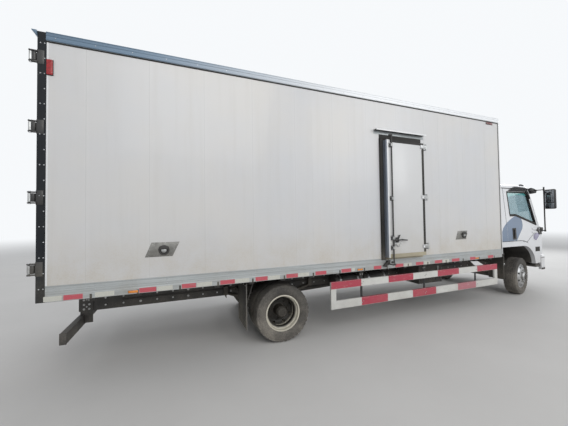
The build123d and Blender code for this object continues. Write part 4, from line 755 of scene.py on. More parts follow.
# wheels: places from the frame's own joints
joints = {joint["name"]: joint for joint in frame["joints"]}
tyre = {"radius": 0.412, "half": 0.1225, "bead": 0.2525, "steps": 120,
    "grooves": (-0.058, -0.02, 0.02, 0.058), "grooveDepth": 0.01, "zigzag": 0.0035, "twin": 0.272}
wheelNuts = {"ring": 0.1375, "count": 8, "size": 0.0155}


def tyreOutline(values):
    radius, half, bead = values["radius"], values["half"], values["bead"]
    outer = [(-0.066, bead + 0.008), (-0.078, bead + 0.001), (-0.092, bead + 0.004), (-0.099, bead + 0.014),
        (-half + 0.012, bead + 0.03), (-half + 0.0105, bead + 0.032), (-half + 0.003, bead + 0.055),
        (-half, bead + 0.078), (-half + 0.0045, bead + 0.1), (-half + 0.003, bead + 0.103),
        (-half + 0.003, bead + 0.108), (-half + 0.006, bead + 0.112), (-half + 0.01, radius - 0.03),
        (-half + 0.01, radius - 0.016), (-half + 0.018, radius - 0.0065), (-half + 0.03, radius - 0.0038)]
    for middle in values["grooves"]:
        outer += [(middle - 0.0065, radius - 0.001), (middle - 0.0035, radius - values["grooveDepth"]),
            (middle + 0.0035, radius - values["grooveDepth"]), (middle + 0.0065, radius - 0.001)]
    outer += [(-along, height) for along, height in reversed(outer[:16])]
    inner = [(half - 0.026, bead + 0.045), (half - 0.024, radius - 0.045), (-half + 0.024, radius - 0.045),
        (-half + 0.026, bead + 0.045)]
    return outer + inner


# notches the shoulders and bends the grooves into a zigzag, one pitch for every six steps
def cutTread(verts, centre, axis, values):
    side = axis.cross(Vector((0, 0, 1))).normalized()
    up = side.cross(axis)
    for vert in verts:
        arm = vert.co - centre
        along = arm.dot(axis)
        radial = arm - axis * along
        step = round(math.atan2(radial.dot(up), radial.dot(side)) / (2 * math.pi) * values["steps"])
        if radial.length > values["radius"] - 0.035 and abs(along) > 0.07:
            if step % 3 == 0:
                vert.co -= radial.normalized() * (0.0075 if abs(along) > 0.09 else 0.0)
            vert.co += axis * (0.003 if step % 3 == 0 and abs(along) > 0.1 else 0.0) * (-1 if along > 0 else
                1)
        elif radial.length > values["radius"] - 0.012:
            vert.co += axis * values["zigzag"] * (1 if step % 6 < 3 else -1)


def makeTyre(name, body, middles, axis, replaced):
    mesh = bmesh.new()
    for middle in middles:
        before = set(mesh.verts)
        lathe(mesh, tyreOutline(tyre), middle, axis, tyre["steps"])
        cutTread([v for v in mesh.verts if v not in before], Vector(middle), Vector(axis).normalized(),
            tyre)
    bmesh.ops.recalc_face_normals(mesh, faces=mesh.faces)
    return makePiece(name, mesh, body, [tyreRubber], [replaced], angle=28)


def ringPlaces(centre, axis, radius, count, turn=0.0):
    side = axis.cross(Vector((0, 0, 1))).normalized()
    up = side.cross(axis)
    for k in range(count):
        angle = turn + 2 * math.pi * k / count
        yield centre + (side * math.cos(angle) + up * math.sin(angle)) * radius


def makeHub(name, body, face, axis, proud, coverHeight, tones):
    mesh = bmesh.new()
    for place in ringPlaces(face, axis, wheelNuts["ring"], wheelNuts["count"]):
        addAll(mesh, rod, ((place, place + axis * 0.004, 0.0215, 20, 1),
            (place + axis * 0.003, place + axis * 0.024, wheelNuts["size"], 6, 1, wheelNuts["size"] * 0.94),
            (place + axis * 0.024, place + axis * 0.036, 0.0095, 12, 2, 0.0085)))
    lathe(mesh, ((-0.002, 0.098), (0.006, 0.098), (0.009, 0.093), (0.009, 0.08), (-0.002, 0.08)), face,
        axis, 48)
    top = face + axis * proud
    lathe(mesh, ((-0.004, 0.066), (0.01, 0.066), (0.015, 0.06), (0.017, 0.034), (coverHeight, 0.031),
        (coverHeight + 0.006, 0.024), (coverHeight + 0.006, 0.0)), top, axis, 40, 2)
    for place in ringPlaces(top + axis * 0.012, axis, 0.054, 8, 0.3):
        bolt(mesh, place, axis, 0.0065, 1)
    # tyre valve through the disc
    stem = next(ringPlaces(face, axis, 0.213, 1, math.radians(110)))
    rod(mesh, stem - axis * 0.01, stem + axis * 0.045, 0.0045, 10, 2, 0.0035)
    return makePiece(name, mesh, body, tones)


wheelHub = makeFinish("wheelHub", (0.2, 0.2, 0.2), 0.5, (0.1, 0.8, 0.3, 0.15), 0.3, 15, metal=0.5,
    wear=(0.002, 0.5, (0.25, 0.14, 0.08)))
# near-black finishes for the rear hubs and nuts: grime, and painted shade of the deep dish they sit in
grimeBlack = makeFinish("grimeBlack", (0.016, 0.014, 0.012), 0.7, (0.1, 0.8, 0.12, 0.04), 0.3, 12)
grimeSteel = makeFinish("grimeSteel", (0.04, 0.036, 0.032), 0.6, (0.1, 0.8, 0.15, 0.05), 0.3, 12, metal=0.2)


# the dish behind the rear rim's lip is dark: old dirt, and painted shade of the deep dish
def makeRearWheelDirtShadePaint(values):
    material = makeFinish("rearWheelPaint", values["lip"], 0.5, (0.05, 0.6, 0.25, 0.08), 0.1, 12,
        dustColor=(0.33, 0.28, 0.2))
    tree = material.node_tree
    point = addNode(tree, "Mapping", {"Vector": objectPoint(tree),
        "Location": [-c for c in values["axle"]]})
    flat = addNode(tree, "VectorMath", {0: point.outputs["Vector"], 1: (1, 0, 1)}, operation="MULTIPLY")
    radius = addNode(tree, "VectorMath", {0: flat.outputs[0]}, operation="LENGTH").outputs["Value"]
    ragged = mathNode(tree, "MULTIPLY", noiseNode(tree, objectPoint(tree), 16, 4), 0.02)
    mask = rampNode(tree, mathNode(tree, "ADD", radius, ragged), 0.222, 0.246, 1.0, 0.0)
    blotches = noiseNode(tree, objectPoint(tree), 9, 5)
    layOver(material, mask, mixColor(tree, blotches, (0.01, 0.009, 0.007), (0.036, 0.031, 0.024)))
    return material


rearAxle = joints["rear_wheel_spin_right"]["pos_m"]
rearWheelPaint = makeRearWheelDirtShadePaint({"lip": (0.62, 0.59, 0.5), "axle": (rearAxle[0], 0.0, rearAxle[2])})
for sideName, way in sideWays.items():
    spin = joints["front_wheel_spin_" + sideName]
    axis = Vector(spin["axis"]).normalized() * way
    centre = Vector(spin["pos_m"])
    makeTyre("tyreFront_" + sideName, "front_wheel_" + sideName, [centre], axis, "tyre_front_" + sideName)
    makeHub("hubFront_" + sideName, "front_wheel_" + sideName, centre + axis * 0.13, axis, 0.05, 0.006,
        [wheelHub, zincPlate, chassisBlack])
    axis = Vector((0, way, 0))
    outer = Vector((rearAxle[0], way * 0.98, rearAxle[2]))
    makeTyre("tyresRear_" + sideName, "rear_wheel_" + sideName, [outer, outer - axis * tyre["twin"]], axis,
        "tyres_rear_" + sideName)
    # rear hubs and nuts in the near-black finishes: grime with painted shade of the dish
    makeHub("hubRear_" + sideName, "rear_wheel_" + sideName, outer - axis * 0.118, axis, 0.168, 0.012,
        [grimeSteel, grimeSteel, grimeBlack])
    paintNodes(rearWheelPaint, "wheels_rear_" + sideName)
print("wheels built")

# side guards: bands of reflective foil on painted bars, as (start, end, colour), rear to front
guardLow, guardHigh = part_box("side_guards")
guardFace = -guardLow.y
guardTop = ((-1.3, -0.74, 0), (-0.19, 0.36, 0), (0.95, 1.51, 0), (2.03, 2.64, 0))
guardFoot = ((-0.74, -0.21, 0), (0.34, 0.9, 0), (1.47, 1.98, 2))
mesh = bmesh.new()
for way in (-1, 1):
    for bands, z0, z1 in ((guardTop, 0.693, 0.797), (guardFoot, 0.388, 0.507)):
        for start, end, shade in bands:
            addAll(mesh, slab, ((start + 0.002, end - 0.002, way * (guardFace + 0.0002),
                way * (guardFace + 0.0016), z0, z1, 0, shade), (start + 0.002, end - 0.002,
                way * (guardFace - 0.029), way * (guardFace + 0.0016), z1 + 0.0025, z1 + 0.0042, 0, shade)))


# white bar faces in front; every surface set back behind them, the posts too, is near-black
def makeGuardPaint(values):
    material = makeFinish("guardBarPaint", (0.66, 0.66, 0.63), 0.42, (0.3, 0.9, 0.24, 0.05), 0.06, 7,
        wear=(0.003, 0.5, (0.25, 0.2, 0.16)))
    tree = material.node_tree
    outwards = mathNode(tree, "ABSOLUTE", objectAxis(tree, "Y"))
    back = values["barBack"]
    layOver(material, rampNode(tree, outwards, back + 0.0004, back + 0.0012, 1.0, 0.0), values["postTone"])
    return material


paintNodes(makeGuardPaint({"barBack": guardFace - 0.03, "postTone": (0.02, 0.02, 0.02)}), "side_guards")
guardFaded = makeTape("guardFaded", (0.5, 0.16, 0.2), (0.62, 0.5, 0.46))
makePiece("guardBands", mesh, "root", [guardRed, tapeWhite, guardFaded])

mesh = bmesh.new()
bracketPlaces = [x for x in bearerPlaces[1::3] if guardLow.x + 0.09 < x < guardHigh.x - 0.09]
for way in (-1, 1):
    for x in bracketPlaces:
        for z in (0.44, 0.745):
            for dx in (-0.012, 0.012):
                bolt(mesh, (x + dx, way * (guardFace + 0.001), z + dx), (0, way, 0), 0.006, 1)
        slab(mesh, x - 0.03, x + 0.03, way * (guardFace - 0.03), way * (guardFace - 0.038), 0.84, 0.905,
            0.002)
        for dx in (-0.018, 0.018):
            bolt(mesh, (x + dx, way * (guardFace - 0.03), 0.872), (0, way, 0), 0.007, 1)
    # loose plate leaning on the top bar
    prism(mesh, ((1.86, 0.902), (2.07, 0.892), (2.24, 0.806), (1.99, 0.806)), "y",
        way * (guardFace - 0.012), way * (guardFace - 0.017), 0.001, 2)
makePiece("guardBrackets", mesh, "root", [chassisBlack, zincPlate, trimWhite])

# mud flaps: a pale strip along the edge, clamping strip with its bolts, stays
flapLow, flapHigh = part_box("mud_flaps")
rearFlapX = flapLow.x + 0.03
edgeRubber = makeFinish("edgeRubber", (0.16, 0.155, 0.145), 0.6, (0.2, 0.95, 0.3, 0.1), 0.2)
mesh = bmesh.new()
for way in (-1, 1):
    addAll(mesh, slab, ((rearFlapX - 0.01, rearFlapX - 0.0005, way * 1.098, way * 1.1115, 0.262, 0.898,
        0.001), (rearFlapX + 0.0002, rearFlapX + 0.0045, way * 0.6, way * 1.1, 0.835, 0.885, 0.0015, 1)))
    for k in range(5):
        addAll(mesh, bolt, (((rearFlapX + 0.0045, way * (0.64 + 0.105 * k), 0.86), (1, 0, 0), 0.007, 2),
            ((rearFlapX - 0.01, way * (0.64 + 0.105 * k), 0.86), (-1, 0, 0), 0.007, 2)))
    addAll(mesh, rod, (((rearFlapX + 0.004, way * 0.59, 0.7), (rearFlapX + 0.012, way * 1.085, 0.64), 0.009,
        12, 1), ((rearFlapX + 0.01, way * 1.085, 0.64), (rearFlapX + 0.1, way * 1.085, 0.925), 0.007, 12,
        1)))
    slab(mesh, flapHigh.x - 0.0125, flapHigh.x - 0.0105, way * 0.998, way * 1.0115, 0.402, 0.998)
    # moulded ribs across the lower half
    for k in range(5):
        z = 0.3 + 0.045 * k
        slab(mesh, rearFlapX - 0.0105, rearFlapX - 0.0065, way * 0.62, way * 1.08, z, z + 0.012, 0.002, 3)
makePiece("flapTrim", mesh, "root", [edgeRubber, chassisBlack, zincPlate, flapRubber])

# leaf packs: long U-bolts and their plates
springY = 0.466
axlePlaces = ((rearAxle[0], 0.075), (joints["steer_right"]["pos_m"][0], 0.055))
mesh = bmesh.new()
for way in (-1, 1):
    for x, grip in axlePlaces:
        for dx in (-grip, grip):
            for dy in (-0.043, 0.043):
                rod(mesh, (x + dx, way * springY + dy, 0.3), (x + dx, way * springY + dy, 0.64), 0.0095, 12,
                    1)
                bolt(mesh, (x + dx, way * springY + dy, 0.305), (0, 0, -1), 0.014, 2)
        addAll(mesh, slab, ((x - grip - 0.03, x + grip + 0.03, way * springY - 0.06, way * springY + 0.06,
            0.3, 0.316, 0.004, 1), (x - grip - 0.02, x + grip + 0.02, way * springY - 0.055,
            way * springY + 0.055, 0.628, 0.646, 0.004, 1)))
makePiece("springBolts", mesh, "root", [springSteel, chassisBlack, zincPlate])

# rear axle: brake chambers and the bolts of the cover
mesh = bmesh.new()
axleX, axleZ = rearAxle[0], rearAxle[2]
for way in (-1, 1):
    place = Vector((axleX + 0.17, way * 0.335, axleZ + 0.09))
    lathe(mesh, ((-0.075, 0.0), (-0.075, 0.052), (-0.06, 0.072), (-0.012, 0.078), (-0.008, 0.086),
        (0.008, 0.086), (0.012, 0.078), (0.06, 0.072), (0.09, 0.055), (0.1, 0.0)), place, (0.25, way, 0.1),
        28)
    rod(mesh, place, (axleX + 0.06, way * 0.3, axleZ + 0.02), 0.028, 12, 0, 0.04)
for place in ringPlaces(Vector((axleX - 0.18, 0, axleZ)), Vector((-1, 0, 0)), 0.135, 12):
    bolt(mesh, place, (-1, 0, 0), 0.008, 1)
makePiece("axleDetail", mesh, "root", [chassisBlack, zincPlate])

# fuel tank: straps and filler cap
tankLow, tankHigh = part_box("fuel_tank")
mesh = bmesh.new()
for dx in (0.22, 0.88):
    x = tankLow.x + dx
    outline = [(tankHigh.y - 0.07, tankLow.z - 0.003), (tankHigh.y - 0.02, tankLow.z + 0.018),
        (tankHigh.y + 0.003, tankLow.z + 0.07), (tankHigh.y + 0.003, tankHigh.z - 0.07),
        (tankHigh.y - 0.02, tankHigh.z - 0.018), (tankHigh.y - 0.07, tankHigh.z + 0.003)]
    for (y0, z0), (y1, z1) in zip(outline, outline[1:]):
        prism(mesh, ((y0, z0), (y1, z1), (y1 - 0.004, z1 - 0.002), (y0 - 0.004, z0 + 0.002)), "x",
            x - 0.025, x + 0.025, 0, 1)
    addAll(mesh, slab, ((x - 0.025, x + 0.025, 0.43, tankHigh.y - 0.07, tankHigh.z + 0.0005,
        tankHigh.z + 0.004, 0, 1), (x - 0.025, x + 0.025, 0.43, tankHigh.y - 0.07, tankLow.z - 0.004,
        tankLow.z - 0.0005, 0, 1), (x - 0.03, x + 0.03, 0.431, 0.442, tankLow.z - 0.02, tankHigh.z + 0.02,
        0.002, 1)))
lathe(mesh, ((-0.02, 0.052), (0.02, 0.052), (0.022, 0.06), (0.05, 0.06), (0.056, 0.05), (0.056, 0.0)),
    (tankHigh.x - 0.14, tankHigh.y - 0.12, tankHigh.z - 0.02), (0, 0.35, 1), 32)
makePiece("tankStraps", mesh, "root", [blackPlastic, stainless])

# battery box: lid, ribs and latches
batteryLow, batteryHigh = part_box("battery_box")
mesh = bmesh.new()
slab(mesh, batteryLow.x - 0.008, batteryHigh.x + 0.008, batteryLow.y - 0.01, batteryHigh.y - 0.02,
    batteryHigh.z - 0.075, batteryHigh.z + 0.01, 0.008)
for k in range(6):
    x = batteryLow.x + 0.06 + 0.096 * k
    slab(mesh, x - 0.012, x + 0.012, batteryLow.y - 0.006, batteryLow.y + 0.01, batteryLow.z + 0.04,
        batteryHigh.z - 0.09, 0.004)
for x in (batteryLow.x + 0.12, batteryHigh.x - 0.12):
    slab(mesh, x - 0.018, x + 0.018, batteryLow.y - 0.022, batteryLow.y - 0.008, batteryHigh.z - 0.11,
        batteryHigh.z - 0.03, 0.003, 1)
    bolt(mesh, (x, batteryLow.y - 0.022, batteryHigh.z - 0.045), (0, -1, 0), 0.007, 1)
makePiece("batteryLid", mesh, "root", [blackPlastic, zincPlate])

# air tanks: domed ends, straps and drain valves
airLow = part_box("air_tanks")[0]
mesh = bmesh.new()
for x0 in (airLow.x, airLow.x + 0.6):
    for end, way in ((x0, -1), (x0 + 0.56, 1)):
        lathe(mesh, ((-0.03, 0.1205), (0.0, 0.1205), (0.004, 0.118), (0.01, 0.095), (0.016, 0.05),
            (0.018, 0.0)), (end, -0.57, 0.65), (way, 0, 0), 36)
    for dx in (0.1, 0.46):
        lathe(mesh, ((-0.018, 0.1208), (-0.018, 0.1238), (0.018, 0.1238), (0.018, 0.1208)),
            (x0 + dx, -0.57, 0.65), (1, 0, 0), 40, 1)
    rod(mesh, (x0 + 0.28, -0.57, 0.532), (x0 + 0.28, -0.57, 0.508), 0.012, 6, 2)
makePiece("airTankEnds", mesh, "root", [steelDark, stainless, zincPlate])

# frame rails: rows of bolts on the web, air pipes along it
mesh = bmesh.new()
for way in (-1, 1):
    for k in range(44):
        x = -4.6 + 0.212 * k
        for z in (0.65, 0.745):
            bolt(mesh, (x, way * 0.43, z), (0, way, 0), 0.008 if k % 3 else 0.011, 1)
    for z in (0.69, 0.703):
        rod(mesh, (-4.2, way * 0.4365, z), (3.05, way * 0.4365, z), 0.0055, 8, 2)
for x in bearerPlaces:
    for way in (-1, 1):
        slab(mesh, x - 0.045, x + 0.045, way * 0.431, way * 0.437, 0.87, 0.96, 0.002)
        for dx in (-0.028, 0.028):
            bolt(mesh, (x + dx, way * 0.437, 0.885), (0, way, 0), 0.008, 1)
makePiece("frameFasteners", mesh, "root", [chassisBlack, zincPlate, blackPlastic])

# reservoir and hoses on the frame behind the cab
mesh = bmesh.new()
lathe(mesh, ((0.0, 0.0), (0.0, 0.07), (0.012, 0.082), (0.12, 0.085), (0.15, 0.07), (0.16, 0.03),
    (0.185, 0.028), (0.19, 0.0)), (2.86, -0.62, 0.96), (0, 0, 1), 32)
addAll(mesh, slab, ((2.8, 2.92, -0.66, -0.42, 0.93, 0.96, 0.004, 1),
    (2.8, 2.92, -0.45, -0.4, 0.8, 0.935, 0.004, 1)))
for k in range(3):
    y = 0.1 + 0.05 * k
    points = [(2.735, y, 1.02), (2.8, y - 0.01, 0.93), (2.9, y, 0.9), (3.0, y + 0.02, 0.95),
        (3.05, y + 0.02, 1.06)]
    for a, b in zip(points, points[1:]):
        rod(mesh, a, b, 0.011, 10, 2)
makePiece("rearOfCabParts", mesh, "root", [trimWhite, chassisBlack, sealRubber])

# underrun bar: striped foil, end caps and bolts
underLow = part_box("rear_underrun")[0]
mesh = bmesh.new()
for k in range(9):
    y0 = -1.07 + 0.2378 * k
    if 0.61 < abs(y0 + 0.1189) < 1.08:
        continue
    slab(mesh, underLow.x - 0.0015, underLow.x + 0.001, y0 + 0.004, y0 + 0.2338, 0.45, 0.53, 0, k % 2)
for way in (-1, 1):
    slab(mesh, underLow.x - 0.004, underLow.x + 0.064, way * 1.0795, way * 1.086, 0.426, 0.554, 0.004, 2)
    for z in (0.62, 0.68, 0.74):
        for dx in (0.05, 0.11):
            bolt(mesh, (underLow.x + dx, way * 0.442, z), (0, way, 0), 0.009, 3)
makePiece("underrunFoil", mesh, "root", [tapeRed, tapeWhite, blackPlastic, zincPlate])
print("chassis built")

# cab: the same plan at each height as the CAD shell, as (height, front, half width, corner)
cab = {"rear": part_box("cab_back")[0].x, "corner": 0.4, "plans": ((0.68, 4.85, 1.04), (1.3, 4.85, 1.04),
    (1.5, 4.79, 1.035), (2.42, 4.49, 0.965), (2.48, 4.42, 0.925), (2.52, 4.22, 0.775)),
    "cornerCuts": {2.42: 0.04, 2.48: 0.05, 2.52: 0.07}}


def cabPlan(z):
    z = min(max(z, 0.68), 2.52)
    for low, high in zip(cab["plans"], cab["plans"][1:]):
        if z <= high[0]:
            share = (z - low[0]) / (high[0] - low[0])
            front, half = (low[k] + share * (high[k] - low[k]) for k in (1, 2))
            cuts = [cab["cornerCuts"].get(row[0], 0.0) for row in (low, high)]
            return front, half, cab["corner"] - cuts[0] - share * (cuts[1] - cuts[0])


def cabFrontX(y, z):
    front, half, corner = cabPlan(z)
    past = min(max(abs(y) - (half - corner), 0.0), corner * 0.999)
    return front - corner + math.sqrt(corner ** 2 - past ** 2)


def cabSideY(x, z):
    front, half, corner = cabPlan(z)
    past = min(max(x - (front - corner), 0.0), corner * 0.999)
    return half - corner + math.sqrt(corner ** 2 - past ** 2)


# a flat outline laid on the cab: cut into cells, then pushed onto the curved skin
def drape(bm, outline, where, low, high, way=1, material=0, cell=0.05):
    start = set(bm.verts)
    axis = "x" if where == "front" else "y"
    prism(bm, outline, axis, 0.0, 1.0, 0, material)
    spans = [(min(p[k] for p in outline), max(p[k] for p in outline)) for k in (0, 1)]
    normals = (Vector((0, 1, 0)) if where == "front" else Vector((1, 0, 0)), Vector((0, 0, 1)))
    for (a, b), normal in zip(spans, normals):
        count = max(1, int((b - a) / cell))
        for k in range(1, count):
            fresh = [v for v in bm.verts if v not in start]
            geom = fresh + list({e for v in fresh for e in v.link_edges}) + list({f for v in fresh for f in
                v.link_faces})
            bmesh.ops.bisect_plane(bm, geom=geom, dist=1e-6, plane_co=normal * (a + (b - a) * k / count),
                plane_no=normal)
    for vert in [v for v in bm.verts if v not in start]:
        if where == "front":
            reach = high if vert.co.x > 0.5 else low
            vert.co.x = cabFrontX(vert.co.y, vert.co.z) + reach
        else:
            reach = high if vert.co.y > 0.5 else low
            vert.co.y = way * (cabSideY(vert.co.x, vert.co.z) + reach)
    fresh = {f for v in bm.verts if v not in start for f in v.link_faces}
    bmesh.ops.recalc_face_normals(bm, faces=list(fresh))


def ringAround(outline, inner):
    return [((a, b), (c, d)) for (a, b), (c, d) in zip(zip(outline, outline[1:] + outline[:1]),
        zip(inner, inner[1:] + inner[:1]))]


def frameStrips(bm, outline, width, where, low, high, way=1, material=0, cell=0.08):
    middle = (sum(p[0] for p in outline) / len(outline), sum(p[1] for p in outline) / len(outline))
    inner = []
    count = len(outline)
    for k, point in enumerate(outline):
        before, after = Vector(outline[k - 1]), Vector(outline[(k + 1) % count])
        here = Vector(point)
        first, second = (here - before).normalized(), (after - here).normalized()
        side = Vector((-first.y, first.x)) + Vector((-second.y, second.x))
        if side.dot(Vector(middle) - here) < 0:
            side = -side
        side.normalize()
        reach = width / max(0.35, abs(side.dot(Vector((-first.y, first.x)))))
        inner.append(tuple(here + side * reach))
    for (a, b), (c, d) in ringAround(list(outline), inner):
        drape(bm, (a, b, d, c), where, low, high, way, material, cell)


decalBlue = makeFinish("decalBlue", (0.15, 0.21, 0.31), 0.3, (0.8, 1.4, 0.2, 0.02), 0.05, coat=0.5)
stripTeal = makeGlass("stripTeal", (0.03, 0.38, 0.38), 0.1, 0.1, 0.35)
blackGloss = makeFinish("blackGloss", (0.012, 0.012, 0.013), 0.42, (0.6, 1.6, 0.12, 0.02), 0.1,
    specular=0.2)
cornerLens = makeFinish("cornerLens", (0.26, 0.24, 0.36), 0.12, (0.8, 1.4, 0.1, 0.02), 0.25, 50, coat=0.9,
    grain=(260, 0.6, 0.0))
smokedVisor = makeGlass("smokedVisor", (0.03, 0.032, 0.035), 0.2, 0.1, 0.25)
reflector = makeFinish("reflector", (0.72, 0.72, 0.72), 0.1, (0.4, 0.9, 0.1, 0.02), 0.05, metal=1.0)
lensClear = makeGlass("lensClear", (0.9, 0.92, 0.92), 0.03, 0.1)

windowEdge = ((3.38, 2.33), (4.07, 2.33), (4.17, 2.24), (4.355, 1.58), (3.62, 1.8), (3.4, 1.8))
decalOutline = ((3.06, 1.225), (3.06, 1.33), (3.075, 1.43), (3.13, 1.52), (3.25, 1.62), (3.4, 1.7),
    (3.53, 1.757), (3.64, 1.785), (3.72, 1.778), (3.79, 1.735), (3.825, 1.66), (3.83, 1.57), (3.8, 1.49),
    (3.73, 1.405), (3.66, 1.325), (3.585, 1.225))


def cutOutline(outline, x, keepFront):
    kept = []
    for (x0, z0), (x1, z1) in zip(outline, outline[1:] + outline[:1]):
        if (x0 > x) == keepFront:
            kept.append((x0, z0))
        if (x0 > x) != (x1 > x):
            kept.append((x, z0 + (z1 - z0) * (x - x0) / (x1 - x0)))
    return kept


for sideName, way in sideWays.items():
    # cab body side: rear part of the decal, corner lamp, marker, and the flare creases as thin black lines,
    # painted shadow in the creases
    mesh = bmesh.new()
    addAll(mesh, drape, ((cutOutline(list(decalOutline), 3.262, False), "side", -0.0005, 0.0009, way),
        (((4.22, 1.335), (4.35, 1.388), (4.45, 1.37), (4.37, 1.27), (4.29, 1.21), (4.21, 1.255)), "side",
        -0.001, 0.012, way, 1, 0.03), (((4.27, 0.95), (4.43, 0.95), (4.43, 1.055), (4.27, 1.055)), "side",
        -0.001, 0.0075, way, 2), (((4.285, 0.965), (4.415, 0.965), (4.415, 1.04), (4.285, 1.04)), "side",
        0.007, 0.0105, way, 3)))
    # thin black lines round the flare's arch and along its top: painted shadow in the creases above the
    # flare band
    for k in range(26):
        angle = math.radians(90 - k * 3.6)
        outer = [(3.74 + 0.545 * math.cos(a), 0.68 + 0.545 * math.sin(a)) for a in (angle,
            angle - math.radians(3.6))]
        inner = [(3.74 + 0.532 * math.cos(a), 0.68 + 0.532 * math.sin(a)) for a in (angle,
            angle - math.radians(3.6))]
        drape(mesh, (outer[0], outer[1], inner[1], inner[0]), "side", -0.0008, 0.0008, way, 4)
    drape(mesh, ((3.06, 1.214), (3.74, 1.214), (3.74, 1.227), (3.06, 1.227)), "side", -0.0008, 0.0008, way,
        4)
    # dark seam round the door
    seam = ((3.2605, 2.399), (4.153, 2.399), (4.2335, 2.293), (4.4145, 1.621), (4.3845, 1.469),
        (3.9225, 1.1605), (3.79, 1.2205), (3.2605, 1.2205))
    frameStrips(mesh, seam, -0.007, "side", -0.006, 0.0009, way, 4, 0.15)
    # lower step between the arch and the bumper
    slab(mesh, 4.265, 4.455, way * 0.8, way * 1.035, 0.585, 0.64, 0.008, 2)
    for k in range(4):
        slab(mesh, 4.275 + 0.047 * k, 4.3 + 0.047 * k, way * 0.82, way * 1.02, 0.639, 0.645, 0.002, 2)
    slab(mesh, 4.265, 4.455, way * 0.8, way * 0.815, 0.64, 0.705, 0.004, 2)
    makePiece("cabSideTrim_" + sideName, mesh, "cab", [decalBlue, cornerLens, blackPlastic, blackGloss,
        blackGloss])

    # door: decal, handle, window seals, sun strip, lower crease
    mesh = bmesh.new()
    drape(mesh, cutOutline(list(decalOutline), 3.268, True), "side", -0.0005, 0.0009, way)
    frameStrips(mesh, [(x + dx, z + dz) for (x, z), (dx, dz) in zip(windowEdge,
        ((-0.004, 0.004), (0.003, 0.004), (0.004, 0.002), (0.006, -0.004), (0.0, -0.004),
        (-0.004, -0.004)))], 0.026, "side", -0.02, 0.0045, way, 1)
    drape(mesh, ((3.4, 1.772), (3.62, 1.772), (4.345, 1.553), (4.36, 1.582), (3.622, 1.808), (3.4, 1.808)),
        "side", -0.002, 0.007, way, 1, 0.1)
    # upright pull handle in its recess plate
    drape(mesh, ((3.44, 1.255), (3.57, 1.255), (3.57, 1.51), (3.44, 1.51)), "side", -0.001, 0.0035, way, 2,
        0.06)
    y = way * (cabSideY(3.5, 1.38) + 0.018)
    addAll(mesh, slab, ((3.478, 3.522, y - 0.009, y + 0.009, 1.29, 1.475, 0.007, 2, 3),
        (3.485, 3.515, way * cabSideY(3.5, 1.3), y, 1.285, 1.31, 0.004, 2),
        (3.485, 3.515, way * cabSideY(3.5, 1.45), y, 1.455, 1.48, 0.004, 2)))
    lathe(mesh, ((-0.002, 0.014), (0.004, 0.014), (0.006, 0.01), (0.006, 0.0)),
        (3.505, way * (cabSideY(3.5, 1.235) - 0.0005), 1.228), (0, way, 0), 20, 3)
    # rain deflector over the window
    addAll(mesh, drape, ((((3.56, 2.352), (3.64, 2.385), (4.02, 2.388), (4.13, 2.34), (4.215, 2.2),
        (4.195, 2.17), (4.1, 2.305), (4.06, 2.35)), "side", -0.001, 0.022, way, 4, 0.06),
        (((3.44, 2.344), (3.49, 2.38), (3.56, 2.392), (4.12, 2.392), (4.19, 2.3), (4.172, 2.245),
        (4.078, 2.343)), "side", -0.001, 0.014, way, 4, 0.06)))
    slab(mesh, 4.335, 4.404, way * (cabSideY(4.37, 1.45) + 0.012), way * (cabSideY(4.37, 1.45) + 0.02),
        1.405, 1.5, 0.003, 2)
    makePiece("cabDoorTrim_" + sideName, mesh, "cab_door_" + sideName,
        [decalBlue, sealRubber, blackPlastic, zincPlate, blackGloss])
    mesh = bmesh.new()
    drape(mesh, ((3.384, 2.328), (4.07, 2.328), (4.15, 2.25), (3.75, 2.262), (3.395, 2.205)), "side",
        -0.0195, -0.0178, way)
    makePiece("sunStrip_" + sideName, mesh, "cab_door_" + sideName, [stripTeal])

# front of the cab
mesh = bmesh.new()
screenEdge = ((-0.9, 1.545), (0.9, 1.545), (0.85, 2.401), (-0.85, 2.401))
addAll(mesh, frameStrips, ((screenEdge, 0.052, "front", -0.0175, -0.016, 1, 0, 0.06),
    (((-0.912, 1.533), (0.912, 1.533), (0.86, 2.412), (-0.86, 2.412)), 0.016, "front", -0.018, 0.004, 1, 1,
    0.06)))
# garnish under the screen, grille with slats, vent mouths
drape(mesh, ((-0.8, 1.395), (0.8, 1.395), (0.83, 1.515), (-0.83, 1.515)), "front", -0.001, 0.01, 1, 2)
slab(mesh, 4.8315, 4.835, -0.5605, 0.5605, 0.9595, 1.2655, 0, 1)
for way in (-1, 1):
    prism(mesh, ((way * 0.559, 0.95), (way * 0.559, 1.275), (way * 0.66, 1.275), (way * 0.57, 0.95)), "x",
        4.8495, 4.856, 0, 1)
for k in range(5):
    z = 0.98 + 0.058 * k
    half = 0.545 + (z - 0.955) * 0.3
    addAll(mesh, slab, ((4.8325, 4.88, -0.56, 0.56, z, z + 0.03, 0.004, 3),
        (4.851, 4.88, -half, half, z, z + 0.03, 0.004, 3)))
for way in (-1, 1):
    prism(mesh, ((way * 0.545, 0.95), (way * 0.58, 0.95), (way * 0.685, 1.285), (way * 0.65, 1.285)), "x",
        4.851, 4.884, 0.005, 3)
addAll(mesh, slab, ((4.851, 4.884, -0.69, 0.69, 1.268, 1.29, 0.006, 3),
    (4.851, 4.884, -0.58, 0.58, 0.942, 0.96, 0.006, 3), (4.852, 4.858, -0.02, 0.02, 0.985, 1.25, 0.002, 1)))
